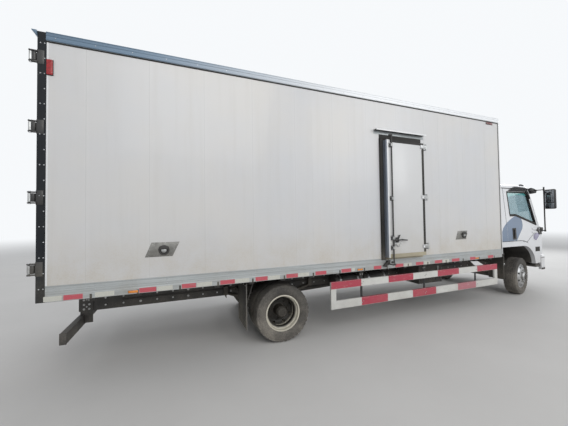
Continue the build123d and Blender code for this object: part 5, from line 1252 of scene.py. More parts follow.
# wipers: pivots, arms and blades lying on the screen
for y0, y1, y2 in ((0.62, 0.08, -0.2), (-0.1, -0.6, -0.84)):
    pivot = Vector((cabFrontX(y0, 1.52) + 0.012, y0, 1.515))
    elbow = Vector((cabFrontX(y1, 1.6) + 0.03, y1, 1.6))
    lathe(mesh, ((-0.02, 0.016), (0.012, 0.016), (0.018, 0.011), (0.018, 0.0)), pivot, (1, 0, 0.3), 20, 1)
    rod(mesh, pivot + Vector((0.012, 0, 0)), elbow, 0.0075, 12, 1, 0.0055)
    for k in range(8):
        a, b = (y1 + 0.26 + (y2 - y1 - 0.26) * s / 8 for s in (k, k + 1))
        rod(mesh, (cabFrontX(a, 1.6) + 0.008, a, 1.6), (cabFrontX(b, 1.6) + 0.008, b, 1.6), 0.0075, 8, 1)
    rod(mesh, elbow, (cabFrontX(y1, 1.6) + 0.006, y1, 1.6), 0.008, 8, 1)
makePiece("cabFrontTrim", mesh, "cab", [blackGloss, blackPlastic, blackGloss, trimWhite])


bumperPlan = {"corner": 0.4, "start": 0.44, "half": 1.05, "front": 4.91}


# bands wrapped round the bumper's plan
def bumperBand(bm, out, thick, z0, z1):
    corner, start, half, front = (bumperPlan[key] for key in ("corner", "start", "half", "front"))
    paths = []
    for reach in (out, out - thick):
        arc = [(front - corner + (corner + reach) * math.sin(math.radians(a)),
            half - corner + (corner + reach) * math.cos(math.radians(a))) for a in range(0, 91, 9)]
        run = [(front - start, half + reach)] + arc
        paths.append([(x, -y) for x, y in run] + [(x, y) for x, y in reversed(run)])
    prism(bm, paths[0] + paths[1][::-1], "z", z0, z1)


mesh = bmesh.new()
bumperBand(mesh, 0.0045, 0.01, 0.516, 0.56)
bumperBand(mesh, 0.0015, 0.006, 0.785, 0.797)
slab(mesh, 4.8845, 4.887, -0.4, 0.4, 0.57, 0.64)
for k in range(3):
    slab(mesh, 4.886, 4.909, -0.4, 0.4, 0.578 + 0.022 * k, 0.588 + 0.022 * k, 0.001)
frameRun = ((-0.408, 0.562), (0.408, 0.562), (0.408, 0.648), (-0.408, 0.648))
for (y0, z0), (y1, z1) in zip(frameRun, frameRun[1:] + frameRun[:1]):
    slab(mesh, 4.908, 4.914, min(y0, y1) - 0.006, max(y0, y1) + 0.006, min(z0, z1) - 0.006,
        max(z0, z1) + 0.006, 0.003)
addAll(mesh, slab, ((4.91, 4.9125, -0.26, 0.26, 0.668, 0.778, 0.004, 1),
    (4.912, 4.9145, -0.255, 0.255, 0.673, 0.773, 0.004, 2)))
for y in (-0.2, 0.2):
    bolt(mesh, (4.9145, y, 0.75), (1, 0, 0), 0.006, 3)
for way in (-1, 1):
    addAll(mesh, lathe, ((((-0.02, 0.05), (0.004, 0.05), (0.006, 0.044), (0.006, 0.038), (-0.014, 0.036),
        (-0.016, 0.0)), (4.909, way * 0.52, 0.585), (1, 0, 0), 28),
        (((-0.01, 0.036), (0.002, 0.034), (0.0035, 0.026), (0.004, 0.0)), (4.909, way * 0.52, 0.585),
        (1, 0, 0), 28, 4)))
makePiece("bumperTrim", mesh, "root", [blackPlastic, blackPlastic, trimWhite, zincPlate, lampClear])

# mirrors: housings with rounded shells, glass towards the rear, arms and brackets
mirrorShell = {"y0": 1.15, "y1": 1.35, "z0": 1.93, "z1": 2.38, "x0": 4.446, "x1": 4.52, "soft": 0.03}
for sideName, way in sideWays.items():
    mesh = bmesh.new()
    m = mirrorShell
    addAll(mesh, slab, ((m["x0"], m["x1"], way * m["y0"], way * m["y1"], m["z0"], m["z1"], m["soft"], 0, 4),
        (m["x0"] - 0.004, m["x0"] + 0.006, way * (m["y0"] + 0.01), way * (m["y1"] - 0.01), m["z0"] + 0.012,
        m["z1"] - 0.012, 0.004), (m["x0"] - 0.006, m["x0"] - 0.0035, way * (m["y0"] + 0.02),
        way * (m["y1"] - 0.02), m["z0"] + 0.15, m["z1"] - 0.024, 0.001, 1),
        (m["x0"] - 0.006, m["x0"] - 0.0035, way * (m["y0"] + 0.02), way * (m["y1"] - 0.02), m["z0"] + 0.022,
        m["z0"] + 0.132, 0.001, 1)))
    postX, postY = 4.48, way * 1.136
    rod(mesh, (postX, postY, 1.41), (postX, postY, 2.44), 0.013, 20)
    lathe(mesh, ((0.0, 0.017), (0.012, 0.017), (0.016, 0.012), (0.016, 0.0)), (postX, postY, 2.432),
        (0, 0, 1), 20)
    for z, inner in ((1.43, cabSideY(4.48, 1.43) + 0.0005), (2.383, 0.9635)):
        addAll(mesh, rod, (((postX, way * inner, z), (postX, postY, z), 0.01),
            ((postX, way * (inner + 0.002), z), (postX, way * (inner + 0.05), z), 0.02, 16, 0, 0.013),
            ((postX, postY, z - 0.022), (postX, postY, z + 0.022), 0.0175)))
    addAll(mesh, slab, ((postX - 0.02, postX + 0.02, way * 1.131, way * 1.155, 2.07, 2.12, 0.006),
        (postX - 0.02, postX + 0.02, way * 1.131, way * 1.155, 2.27, 2.31, 0.006)))
    drape(mesh, ((4.365, 1.4), (4.4, 1.345), (4.54, 1.34), (4.565, 1.4), (4.545, 1.515), (4.432, 1.515),
        (4.424, 1.455)), "side", -0.001, 0.02, way, 0, 0.04)
    slab(mesh, 4.436, 4.56, way * 0.99, way * 1.068, 1.402, 1.506, 0.018, 0, 3)
    makePiece("mirror_" + sideName, mesh, "cab", [blackPlastic, mirrorFace],
        ["mirrors"] if way == -1 else ())

# roof: marker domes, drip moulding, visor brackets
mesh = bmesh.new()
for way in (-1, 1):
    lathe(mesh, ((-0.03, 0.06), (0.01, 0.06), (0.036, 0.05), (0.052, 0.032), (0.057, 0.0)),
        (4.25, way * 0.8, 2.484), (0.25, way * 0.35, 1), 28)
    drape(mesh, ((3.56, 2.404), (3.69, 2.45), (3.9, 2.445), (4.12, 2.425), (4.19, 2.404)), "side", -0.004,
        0.024, way, 0, 0.06)
    for y in (0.25, 0.75):
        slab(mesh, cabFrontX(y, 2.38) - 0.002, cabFrontX(y, 2.38) + 0.12, way * (y - 0.012),
            way * (y + 0.012), 2.3965, 2.4045, 0.002, 1)
        for dx in (0.03, 0.09):
            bolt(mesh, (cabFrontX(y, 2.38) + dx, way * y, 2.4045), (0, 0, 1), 0.006, 1)
    drape(mesh, ((3.02, 2.402), (4.3, 2.402), (4.3, 2.412), (3.02, 2.412)), "side", -0.002, 0.01, way, 0,
        0.1)
    # closed ends of the sun visor
    prism(mesh, ((4.14, 2.404), (4.29, 2.44), (4.4, 2.425), (4.52, 2.388), (4.49, 2.32), (4.3, 2.295),
        (4.262, 2.33), (4.238, 2.398)), "y", way * 0.95, way * 0.99, 0.006)
makePiece("cabRoofTrim", mesh, "cab", [blackGloss, zincPlate])
paintNodes(smokedVisor, "sun_visor")
print("cab outside built")

# rear doors, made again with their gear; the hinge pins and ears stay with the frame
rear = {"out": -4.85, "inner": -4.77, "edge": 1.095, "z0": 1.109, "z1": 3.635, "rods": (0.17, 0.82),
    "rodX": -4.874, "guides": (1.25, 1.8, 2.5, 3.2, 3.5), "hinges": (1.29, 2.035, 2.78, 3.525),
    "pinX": -4.895, "pinY": 1.22, "lever": 1.495}
(rearOut, rearInner, rearEdge, rearZ0, rearZ1, rearRods, rearRodX, rearGuides, rearHinges, rearPinX,
    rearPinY, rearLever) = rear.values()
hingeBlack = makeFinish("hingeBlack", (0.016, 0.017, 0.019), 0.4, (1.0, 1.6, 0.3, 0.05), 0.2, coat=0.2,
    wear=(0.003, 0.4, (0.2, 0.17, 0.14)))
for sideName, way in sideWays.items():
    body = "rear_door_" + sideName
    mesh = bmesh.new()
    slab(mesh, rearOut, rearInner, way * 0.0035, way * rearEdge, rearZ0, rearZ1, 0.003)
    border = (("z", rearZ0 + 0.002, rearZ0 + 0.048), ("z", rearZ1 - 0.048, rearZ1 - 0.002),
        ("y", 0.0045, 0.05), ("y", rearEdge - 0.046, rearEdge - 0.001))
    for along, low, high in border:
        y0, y1, z0, z1 = (low, high, rearZ0 + 0.002, rearZ1 - 0.002) if along == "y" else (0.0045,
            rearEdge - 0.001, low, high)
        slab(mesh, rearOut - 0.0035, rearOut + 0.002, way * y0, way * y1, z0, z1, 0.001, 1)
    for k in range(1, 3):
        y = k * rearEdge / 3
        slab(mesh, rearOut - 0.0008, rearOut + 0.002, way * (y - 0.004), way * (y + 0.004), rearZ0 + 0.048,
            rearZ1 - 0.048)
    # double lip seal round the inner rebate
    for low, high in ((0.004, 0.02), (rearEdge - 0.02, rearEdge - 0.004)):
        slab(mesh, rearInner - 0.003, rearInner + 0.004, way * low, way * high, rearZ0 + 0.004,
            rearZ1 - 0.004, 0.003, 2)
    for low, high in ((rearZ0 + 0.004, rearZ0 + 0.02), (rearZ1 - 0.02, rearZ1 - 0.004)):
        slab(mesh, rearInner - 0.003, rearInner + 0.004, way * 0.018, way * (rearEdge - 0.018), low, high,
            0.003, 2)
    makePiece("rearDoorLeaf_" + sideName, mesh, body, [doorSkin, edgeSteel, sealRubber], [body])

    mesh = bmesh.new()
    for z in rearHinges:
        addAll(mesh, slab, ((rearOut - 0.012, rearOut + 0.0005, way * (rearEdge - 0.16), way * rearPinY,
            z - 0.045, z + 0.045, 0.004), (rearPinX, rearOut - 0.002, way * (rearPinY - 0.01),
            way * (rearPinY + 0.01), z - 0.045, z + 0.045, 0.004)))
        lathe(mesh, ((-0.0448, 0.0094), (0.0448, 0.0094), (0.0448, 0.0135), (0.043, 0.015), (-0.043, 0.015),
            (-0.0448, 0.0135)), (rearPinX, way * rearPinY, z), (0, 0, 1), 24, 1)
        for y, dz in ((0.96, 0.025), (0.96, -0.025), (1.01, 0.0), (1.06, 0.025), (1.06, -0.025)):
            bolt(mesh, (rearOut - 0.012, way * y, z + dz), (-1, 0, 0), 0.008, 1)
    makePiece("rearDoorHinges_" + sideName, mesh, body, [hingeBlack, zincPlate])

    mesh = bmesh.new()
    for y in rearRods:
        place = way * y
        rod(mesh, (rearRodX, place, 1.016), (rearRodX, place, 3.728), 0.012, 20)
        for z in rearGuides:
            slab(mesh, rearOut - 0.004, rearOut + 0.0005, place - 0.034, place + 0.034, z - 0.032,
                z + 0.032, 0.002)
            lathe(mesh, ((-0.018, 0.0122), (0.018, 0.0122), (0.018, 0.018), (-0.018, 0.018)),
                (rearRodX, place, z), (0, 0, 1), 20)
            slab(mesh, rearRodX + 0.008, rearOut - 0.003, place - 0.015, place + 0.015, z - 0.018,
                z + 0.018, 0.002)
            for dy, dz in corners(0.024, 0.022):
                rivet(mesh, (rearOut - 0.004, place + dy, z + dz), (-1, 0, 0), 0.0055, 1)
        # cam claws on both ends of the bar
        for z, turn in ((1.045, 1), (3.7, -1)):
            prism(mesh, [(rearRodX + u, place + v) for u, v in ((-0.018, -0.022), (0.004, -0.024),
                (0.02, -0.03), (0.026, -0.014), (0.014, -0.004), (0.026, 0.012), (0.02, 0.028),
                (0.004, 0.024), (-0.018, 0.02))], "z", z - 0.014, z + 0.014, 0.002, 1)
    # levers with their hubs, hand grips and catches
    for y in rearRods:
        rise = 0.0 if y < 0.5 else 0.075
        z = rearLever + rise
        reach = way * (y + 0.3)
        lathe(mesh, ((-0.034, 0.0122), (0.034, 0.0122), (0.034, 0.0185), (0.028, 0.0205), (-0.028, 0.0205),
            (-0.034, 0.0185)), (rearRodX, way * y, z), (0, 0, 1), 24, 1)
        if y > 0.5:
            reach = way * (y - 0.3)
        slab(mesh, rearRodX - 0.01, rearRodX + 0.002, way * y, reach, z - 0.014, z + 0.014, 0.005, 1, 3)
        grip = reach - (0.11 if reach > way * y else -0.11)
        rod(mesh, (rearRodX - 0.004, grip, z), (rearRodX - 0.004, reach, z), 0.0165, 18, 2, 0.0155)
        catch = way * y + (reach - way * y) * 0.55
        addAll(mesh, slab, ((rearOut - 0.005, rearOut + 0.0005, catch - 0.034, catch + 0.034, z - 0.06,
            z + 0.046, 0.002), (rearRodX - 0.002, rearOut - 0.003, catch - 0.016, catch + 0.016, z - 0.034,
            z - 0.015, 0.002), (rearRodX - 0.016, rearRodX - 0.01, catch - 0.013, catch + 0.013, z - 0.03,
            z + 0.022, 0.002, 1)))
        for dy, dz in ((0.024, 0.036), (-0.024, 0.036), (0.024, -0.05), (-0.024, -0.05)):
            bolt(mesh, (rearOut - 0.005, catch + dy, z + dz), (-1, 0, 0), 0.005, 1)
    makePiece("rearDoorGear_" + sideName, mesh, body, [stainless, zincPlate, blackPlastic])

# frame of the rear: keepers, hinge ears, header bead and a blank plate
mesh = bmesh.new()
for way in (-1, 1):
    for y in rearRods:
        for z, up in ((1.045, 1), (3.7, -1)):
            place = way * y
            slab(mesh, -4.8445, -4.8395, place - 0.05, place + 0.05, z - 0.046, z + 0.046, 0.002, 1)
            for dy in (-0.04, 0.04):
                slab(mesh, -4.864, -4.844, place + dy - 0.005, place + dy + 0.005, z - 0.03, z + 0.03,
                    0.002, 1)
                bolt(mesh, (-4.8445, place + dy * 0.5, z + up * -0.036), (-1, 0, 0), 0.006, 1)
    for z in rearHinges:
        for sign in (-1, 1):
            z0 = z + sign * 0.0495
            z1 = z + sign * 0.063
            slab(mesh, rearPinX - 0.0145, -4.838, way * 1.205, way * 1.235, z0, z1, 0.002)
            rod(mesh, (rearPinX, way * 1.22, z1), (rearPinX, way * 1.22, z1 + sign * 0.005), 0.0125, 16, 2)
        # plate that carries both ears
        addAll(mesh, slab, ((-4.844, -4.8385, way * 1.15, way * 1.22, z - 0.075, z + 0.075, 0.002),
            (-4.843, -4.78, way * 1.2195, way * 1.2235, z - 0.075, z + 0.075, 0.002)))
        for dz in (-0.066, 0.066):
            bolt(mesh, (-4.844, way * 1.18, z + dz), (-1, 0, 0), 0.006, 1)
addAll(mesh, slab, ((-4.842, -4.8395, -1.095, 1.095, 3.65, 3.662, 0.001, 3),
    (-4.843, -4.8395, -1.1, 1.1, 1.01, 1.016, 0, 3), (-4.8435, -4.8395, -0.735, -0.255, 0.95, 1.004, 0.003,
    4), (-4.845, -4.843, -0.73, -0.26, 0.954, 1.0, 0.003, 5)))
for dy in (-0.17, 0.17):
    bolt(mesh, (-4.845, -0.495 + dy, 0.99), (-1, 0, 0), 0.005, 1)
makePiece("rearFrameDetail", mesh, "root", [hingeBlack, zincPlate, stainless, sealRubber, blackPlastic,
    trimWhite])

# bands on the rear sill
mesh = bmesh.new()
for k in range(14):
    y = -1.085 + 0.155 * k
    if -0.74 < y + 0.07 < -0.25:
        continue
    slab(mesh, -4.8412, -4.8398, y, y + 0.15, 0.955, 1.002, 0, k % 2)
makePiece("rearSillTape", mesh, "root", [tapeRed, tapeWhite])

# lamps, made again: bowls, lenses, ribs and bases
mesh = bmesh.new()
for way in (-1, 1):
    # head lamps: housing, two bowls, turn part and a clear cover that follows the bumper's corner
    slab(mesh, 4.846, 4.886, way * 0.474, way * 0.756, 0.614, 0.766, 0.006)
    for y, radius in ((0.545, 0.062), (0.672, 0.052)):
        bowl = [(0.0, 0.0)] + [(0.002 + 0.028 * (r / 6) ** 2, radius * r / 6) for r in range(1, 7)]
        bowl += [(0.03, radius + 0.004), (-0.004, radius + 0.004)]
        addAll(mesh, lathe, ((bowl, (4.874, way * y, 0.69), (1, 0, 0), 32, 1),
            (((0.0, 0.013), (0.012, 0.013), (0.02, 0.01), (0.024, 0.0)), (4.872, way * y, 0.69), (1, 0, 0),
            20, 2)))
    slab(mesh, 4.88, 4.9, way * 0.722, way * 0.752, 0.625, 0.755, 0.004, 3)
    # tail lamps: black base, three lenses in a row, screw heads
    slab(mesh, -4.668, -4.655, way * 0.64, way * 1.06, 0.44, 0.54, 0.004)
    for y0, y1, tone in ((0.648, 0.775, 4), (0.779, 0.905, 3), (0.909, 0.975, 2), (0.979, 1.052, 4)):
        slab(mesh, -4.694, -4.666, way * y0, way * y1, 0.447, 0.533, 0.006, tone, 3)
        for k in range(6):
            z = 0.457 + 0.0125 * k
            slab(mesh, -4.6955, -4.6935, way * (y0 + 0.008), way * (y1 - 0.008), z, z + 0.004, 0, tone)
    # marker at the top rear corner of the side
    face = way * 1.22
    addAll(mesh, slab, ((-4.76, -4.7, face, face + way * 0.008, 3.34, 3.51, 0.003),
        (-4.757, -4.703, face + way * 0.006, face + way * 0.022, 3.344, 3.506, 0.006, 4, 3)))
    for k in range(9):
        z = 3.354 + 0.0165 * k
        slab(mesh, -4.751, -4.709, face + way * 0.0215, face + way * 0.023, z, z + 0.006, 0, 4)
    # long marker under the roof rail at the nose
    addAll(mesh, slab, ((2.35, 2.55, face, face + way * 0.006, 3.645, 3.695, 0.002),
        (2.356, 2.544, face + way * 0.004, face + way * 0.012, 3.65, 3.69, 0.004, 5)))
    # small amber markers along the floor rail
    for x in (-3.95, -0.8, 1.95):
        addAll(mesh, slab, ((x - 0.055, x + 0.055, face, face + way * 0.006, 0.95, 0.985, 0.002),
            (x - 0.049, x + 0.049, face + way * 0.005, face + way * 0.012, 0.9535, 0.9815, 0.003, 3)))
lampSmoked = makeFinish("lampSmoked", (0.16, 0.02, 0.02), 0.18, (0.3, 1.0, 0.2, 0.04), 0.2, coat=0.7)
makePiece("lampSet", mesh, "root", [blackPlastic, reflector, lampClear, lampAmber, lampRed, lampSmoked],
    ["lamps"])
mesh = bmesh.new()
for way in (-1, 1):
    slab(mesh, 4.904, 4.9085, way * 0.472, way * 0.655, 0.612, 0.768, 0.004, 0, 3)
    prism(mesh, ((4.9085, way * 0.653), (4.907, way * 0.7), (4.897, way * 0.758), (4.893, way * 0.758),
        (4.903, way * 0.699), (4.9045, way * 0.653)), "z", 0.612, 0.768, 0.001)
makePiece("headLampCovers", mesh, "root", [lensClear])
mesh = bmesh.new()
for way in (-1, 1):
    for low, high in (((0.462, 0.602), (0.764, 0.612)), ((0.462, 0.768), (0.764, 0.778)),
            ((0.462, 0.602), (0.472, 0.778)), ((0.756, 0.602), (0.764, 0.778))):
        reach = 4.9125 if high[0] < 0.7 else 4.9115
        back = 4.889 if low[0] > 0.7 else 4.9
        slab(mesh, back, reach - (0.012 if low[0] > 0.7 else 0.0), way * low[0], way * high[0], low[1],
            high[1], 0.002)
makePiece("headLampRims", mesh, "root", [blackPlastic])
print("rear and lamps ready")


# cooling unit on the nose wall: grille, louvres, seams, catches, lines
unit = {"x1": 3.15, "half": 0.86, "mouthLow": 2.9, "mouthHigh": 3.38, "floor": 3.125}
unitX1, unitHalf, unitMouthLow, unitMouthHigh, unitFloor = unit.values()
mesh = bmesh.new()
slab(mesh, unitFloor - 0.001, unitFloor + 0.002, -0.6195, 0.6195, 2.9005, 3.3795)
for k in range(9):
    z = unitMouthLow + (k + 0.5) * (unitMouthHigh - unitMouthLow) / 9
    prism(mesh, ((unitFloor + 0.001, z + 0.0125), (unitX1 - 0.0015, z + 0.004), (unitX1 + 0.003, z - 0.006),
        (unitX1 + 0.001, z - 0.013), (unitFloor + 0.001, z - 0.011)), "y", -0.6195, 0.6195, 0.0015, 1)
for k in range(1, 6):
    y = -0.62 + k * 1.24 / 6
    slab(mesh, unitFloor + 0.002, unitX1 - 0.004, y - 0.004, y + 0.004, 2.9005, 3.3795, 0.001)
for y0, y1, z0, z1 in ((-0.64, 0.64, 2.88, 2.902), (-0.64, 0.64, 3.378, 3.4), (-0.64, -0.618, 2.902, 3.378),
        (0.618, 0.64, 2.902, 3.378)):
    slab(mesh, unitX1 - 0.004, unitX1 + 0.007, y0, y1, z0, z1, 0.003, 1)
# seams of the cover, hinges and catches below, side grilles
addAll(mesh, slab, ((unitX1 - 0.002, unitX1 + 0.0012, -0.77, 0.77, 2.838, 2.844),
    (unitX1 - 0.002, unitX1 + 0.0012, -0.77, 0.77, 3.452, 3.458)))
for way in (-1, 1):
    face = way * unitHalf
    addAll(mesh, slab, ((2.76, 3.05, face - way * 0.002, face + way * 0.0012, 2.838, 2.844),
        (2.76, 3.05, face - way * 0.002, face + way * 0.0012, 3.452, 3.458),
        (2.79, 3.02, face - way * 0.001, face + way * 0.004, 2.93, 3.37, 0.003)))
    for k in range(11):
        z = 2.95 + 0.038 * k
        slab(mesh, 2.8, 3.01, face + way * 0.003, face + way * 0.011, z, z + 0.018, 0.003, 1)
    for z in (2.865, 3.432):
        slab(mesh, unitX1 - 0.002, unitX1 + 0.01, way * 0.69, way * 0.745, z - 0.016, z + 0.016, 0.004)
        rod(mesh, (unitX1 + 0.008, way * 0.7175, z), (unitX1 + 0.014, way * 0.7175, z), 0.009, 16, 3)
    for z in (2.8, 3.56):
        addAll(mesh, bolt, (((2.74, face, z), (0, way, 0), 0.009, 3),
            ((3.01, face, z), (0, way, 0), 0.009, 3)))
    # fan rings seen through the louvres
    for k in range(2):
        y = way * (0.17 + 0.29 * k)
        lathe(mesh, ((0.0, 0.12), (0.003, 0.12), (0.003, 0.134), (0.0, 0.134)),
            (unitFloor + 0.002, y, 3.14), (1, 0, 0), 32)
        for turn in range(5):
            angle = math.radians(72 * turn + 20 * k)
            rod(mesh, (unitFloor + 0.005, y, 3.14), (unitFloor + 0.005, y + 0.118 * math.cos(angle),
                3.14 + 0.118 * math.sin(angle)), 0.01, 8, 0, 0.004)
# roof fan guard, drip tray and mounting angles under the unit
for k in range(4):
    lathe(mesh, ((0.0, 0.06 + 0.045 * k), (0.004, 0.06 + 0.045 * k), (0.004, 0.066 + 0.045 * k),
        (0.0, 0.066 + 0.045 * k)), (2.92, 0.0, 3.599), (0, 0, 1), 32, 3)
for k in range(6):
    angle = math.radians(60 * k)
    rod(mesh, (2.92, 0, 3.602), (2.92 + 0.2 * math.cos(angle), 0.2 * math.sin(angle), 3.602), 0.003, 6, 3)
slab(mesh, 2.722, 3.09, -0.8, 0.8, 2.742, 2.762, 0.004)
for y in (-0.62, 0.62):
    addAll(mesh, slab, ((2.72, 2.726, y - 0.035, y + 0.035, 2.6, 2.77, 0.002, 3),
        (2.72, 2.9, y - 0.003, y + 0.003, 2.69, 2.745, 0.001, 3)))
    for dz in (-0.12, -0.06):
        bolt(mesh, (2.726, y, 2.745 + dz), (1, 0, 0), 0.009, 3)
# suction, liquid and drain lines in their clips, down the nose wall to the chassis
for y, radius, tone in ((-0.3, 0.016, 2), (-0.255, 0.011, 2), (-0.215, 0.008, 4), (0.4, 0.012, 2)):
    route = [(2.9, y, 2.752), (2.8, y, 2.7), (2.752, y, 2.6), (2.742, y, 2.45), (2.742, y, 1.25),
        (2.748, y, 1.1), (2.77, y, 1.01)]
    for start, end in zip(route, route[1:]):
        rod(mesh, start, end, radius, 12, tone)
    for bend in route[1:-1]:
        verts = bmesh.ops.create_icosphere(mesh, subdivisions=2, radius=radius,
            matrix=Matrix.Translation(bend))["verts"]
        setMaterial(verts, tone)
for z in (1.35, 1.75, 2.15, 2.5):
    addAll(mesh, slab, ((2.7195, 2.727, -0.335, -0.19, z - 0.012, z + 0.012, 0.002, 3),
        (2.7195, 2.727, 0.372, 0.428, z - 0.012, z + 0.012, 0.002, 3)))
    for y, radius in ((-0.3, 0.019), (-0.255, 0.014), (-0.215, 0.011), (0.4, 0.015)):
        lathe(mesh, ((-0.009, radius - 0.0035), (0.009, radius - 0.0035), (0.009, radius),
            (-0.009, radius)), (2.742, y, z), (0, 0, 1), 16, 3)
makePiece("coolingUnitDetail", mesh, "root", [blackPlastic, unitPlastic, sealRubber, zincPlate, trimWhite])

# nose wall: rivet rows in the corner trims, three upright beads
mesh = bmesh.new()
for way in (-1, 1):
    for k in range(22):
        rivet(mesh, (frontX + 0.0005, way * 1.15, 1.1 + 0.122 * k), (1, 0, 0), 0.006)
    slab(mesh, frontX - 0.001, frontX + 0.0015, way * 1.125, way * 1.17, 1.02, 3.7, 0.0005, 1)
for y in (-0.62, 0.0, 0.62):
    slab(mesh, frontX - 0.001, frontX + 0.001, y - 0.006, y + 0.006, 1.02, 2.6, 0, 1)
makePiece("noseWallTrim", mesh, "root", [stainless, trimWhite])

# roof: cross seams
mesh = bmesh.new()
for k in range(1, 12):
    x = postRear + 0.08 + k * 0.62
    slab(mesh, x - 0.018, x + 0.018, -1.198, 1.198, 3.795, 3.7975, 0.001)
makePiece("roofSeams", mesh, "root", [roofAluminium])

# load space: ribbed floor, kick rails, lashing tracks and the strip lamps
mesh = bmesh.new()
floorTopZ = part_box("box_floor")[1].z
for k in range(45):
    y = -1.1 + k * 0.05
    slab(mesh, -4.755, 2.635, y - 0.009, y + 0.009, floorTopZ - 0.0005, floorTopZ + 0.005)
for way in (-1, 1):
    for x0, x1 in ((-4.755, -0.36), (0.6, 2.635)) if way == -1 else ((-4.755, 2.635),):
        slab(mesh, x0, x1, way * 1.1405, way * 1.1335, 1.108, 1.34, 0.002, 1)
        for z in (1.9, 2.7):
            slab(mesh, x0, x1, way * 1.1405, way * 1.131, z - 0.04, z + 0.04, 0.002, 2)
            for k in range(int((x1 - x0) / 0.15)):
                slab(mesh, x0 + 0.05 + 0.15 * k, x0 + 0.09 + 0.15 * k, way * 1.1312, way * 1.13, z - 0.018,
                    z + 0.018, 0, 3)
    slab(mesh, 2.641, 2.634, way * 0.02, way * 1.12, 1.12, 2.3, 0.002, 1)
for x in (-3.6, -1.2, 1.2):
    slab(mesh, x - 0.3, x + 0.3, -0.045, 0.045, 3.7205, 3.695, 0.008, 4, 3)
makePiece("loadSpaceLining", mesh, "root", [floorPlate, edgeSteel, zincPlate, sealRubber, lampClear])
print("nose wall, roof and load space ready")


# seat cloth: a twill weave with darker side panels
def makeSeatCloth(name, color, thread):
    material, tree, shader = newMaterial(name)
    point = objectPoint(tree)
    weave = addNode(tree, "TexWave", {"Vector": point, "Scale": 190.0, "Distortion": 1.2, "Detail": 1.0},
        wave_type="BANDS", bands_direction="DIAGONAL").outputs["Fac"]
    tone = rampNode(tree, noiseNode(tree, point, 5.0, 5), 0.3, 0.7, 0.0, 1.0)
    base = mixColor(tree, mathNode(tree, "MULTIPLY", weave, 0.35), color, thread)
    base = mixColor(tree, mathNode(tree, "MULTIPLY", tone, 0.25), base, tuple(c * 0.6 for c in color))
    relief = addNode(tree, "Bump", {"Height": weave, "Strength": 0.35, "Distance": 0.0012})
    fill(tree, shader, {"Base Color": base, "Normal": relief.outputs["Normal"], "Roughness": 0.9,
        "Sheen Weight": 0.35})
    return material


seatCloth = makeSeatCloth("seatCloth", (0.085, 0.105, 0.16), (0.2, 0.23, 0.32))
seatSide = makeSeatCloth("seatSide", (0.03, 0.032, 0.038), (0.07, 0.075, 0.085))
seatPads = {"driver": (0.47, 0.25), "double": (-0.48, 0.44)}
padShape = {"swell": 0.016, "sink": 0.011, "voxel": 0.012, "cap": 0.022, "groove": 0.022, "pressure": 4.0,
    "frames": 20}


# a slab with pulled-in sides, swollen by cloth pressure and capped, then smoothed once
def makePad(name, low, high, corner, grooves, replaces=()):
    bm = bmesh.new()
    inset = padShape["swell"]
    x0, y0, z0 = (low[k] + inset for k in range(3))
    x1, y1, z1 = (high[k] - inset for k in range(3))
    slab(bm, x0, x1, y0, y1, z0, z1, corner, 0, 4)
    for axis, place in grooves:
        normal = Vector((axis == "x", axis == "y", axis == "z"))
        for offset in (-0.012, 0.0, 0.012):
            geom = list(bm.verts) + list(bm.edges) + list(bm.faces)
            bmesh.ops.bisect_plane(bm, geom=geom, dist=1e-6, plane_co=normal * (place + offset),
                plane_no=normal)
    bmesh.ops.recalc_face_normals(bm, faces=list(bm.faces))
    mesh = bpy.data.meshes.new(name)
    bm.to_mesh(mesh)
    bm.free()
    piece = addObject(name, mesh)
    remesh = piece.modifiers.new("voxels", "REMESH")
    remesh.mode, remesh.voxel_size = "VOXEL", padShape["voxel"]
    bakeModifiers(piece)
    before = [v.co.copy() for v in piece.data.vertices]
    # cushions are drawn in from above, backs from the front
    up, top = (2, z1) if high[2] - low[2] < 0.3 else (0, x1)
    cloth = piece.modifiers.new("pressure", "CLOTH")
    cloth.settings.use_pressure = True
    cloth.settings.uniform_pressure_force = padShape["pressure"]
    cloth.settings.effector_weights.gravity = 0
    cloth.settings.quality = 4
    for frameNumber in range(1, padShape["frames"] + 1):
        bpy.context.scene.frame_set(frameNumber)
    bakeModifiers(piece)
    bpy.context.scene.frame_set(1)
    for vert, start in zip(piece.data.vertices, before):
        way = vert.co - start
        if way.length > padShape["cap"]:
            way *= padShape["cap"] / way.length
        place = start + way
        for axis, middle in grooves:
            index = "xyz".index(axis)
            near = max(0.0, 1 - abs(start[index] - middle) / padShape["groove"])
            face = max(0.0, min(1.0, (start[up] - (top - 0.05)) / 0.03))
            place[up] -= padShape["sink"] * near * near * face
        vert.co = [min(max(place[k], low[k]), high[k]) for k in range(3)]
    smooth = piece.modifiers.new("smooth", "SUBSURF")
    smooth.levels = smooth.render_levels = 1
    bakeModifiers(piece)
    for material in (seatCloth, seatSide):
        piece.data.materials.append(material)
    middle = (low[1] + high[1]) / 2
    half = (high[1] - low[1]) / 2
    for face in piece.data.polygons:
        centre = face.center
        face.material_index = int(abs(centre.y - middle) > half - 0.06 or centre.x < low[0] + 0.03)
    piece.data.shade_smooth()
    placePiece(piece, "cab", replaces)


def bakeModifiers(piece):
    graph = bpy.context.evaluated_depsgraph_get()
    mesh = bpy.data.meshes.new_from_object(piece.evaluated_get(graph))
    old = piece.data
    piece.modifiers.clear()
    piece.data = mesh
    mesh.name = old.name
    bpy.data.meshes.remove(old)


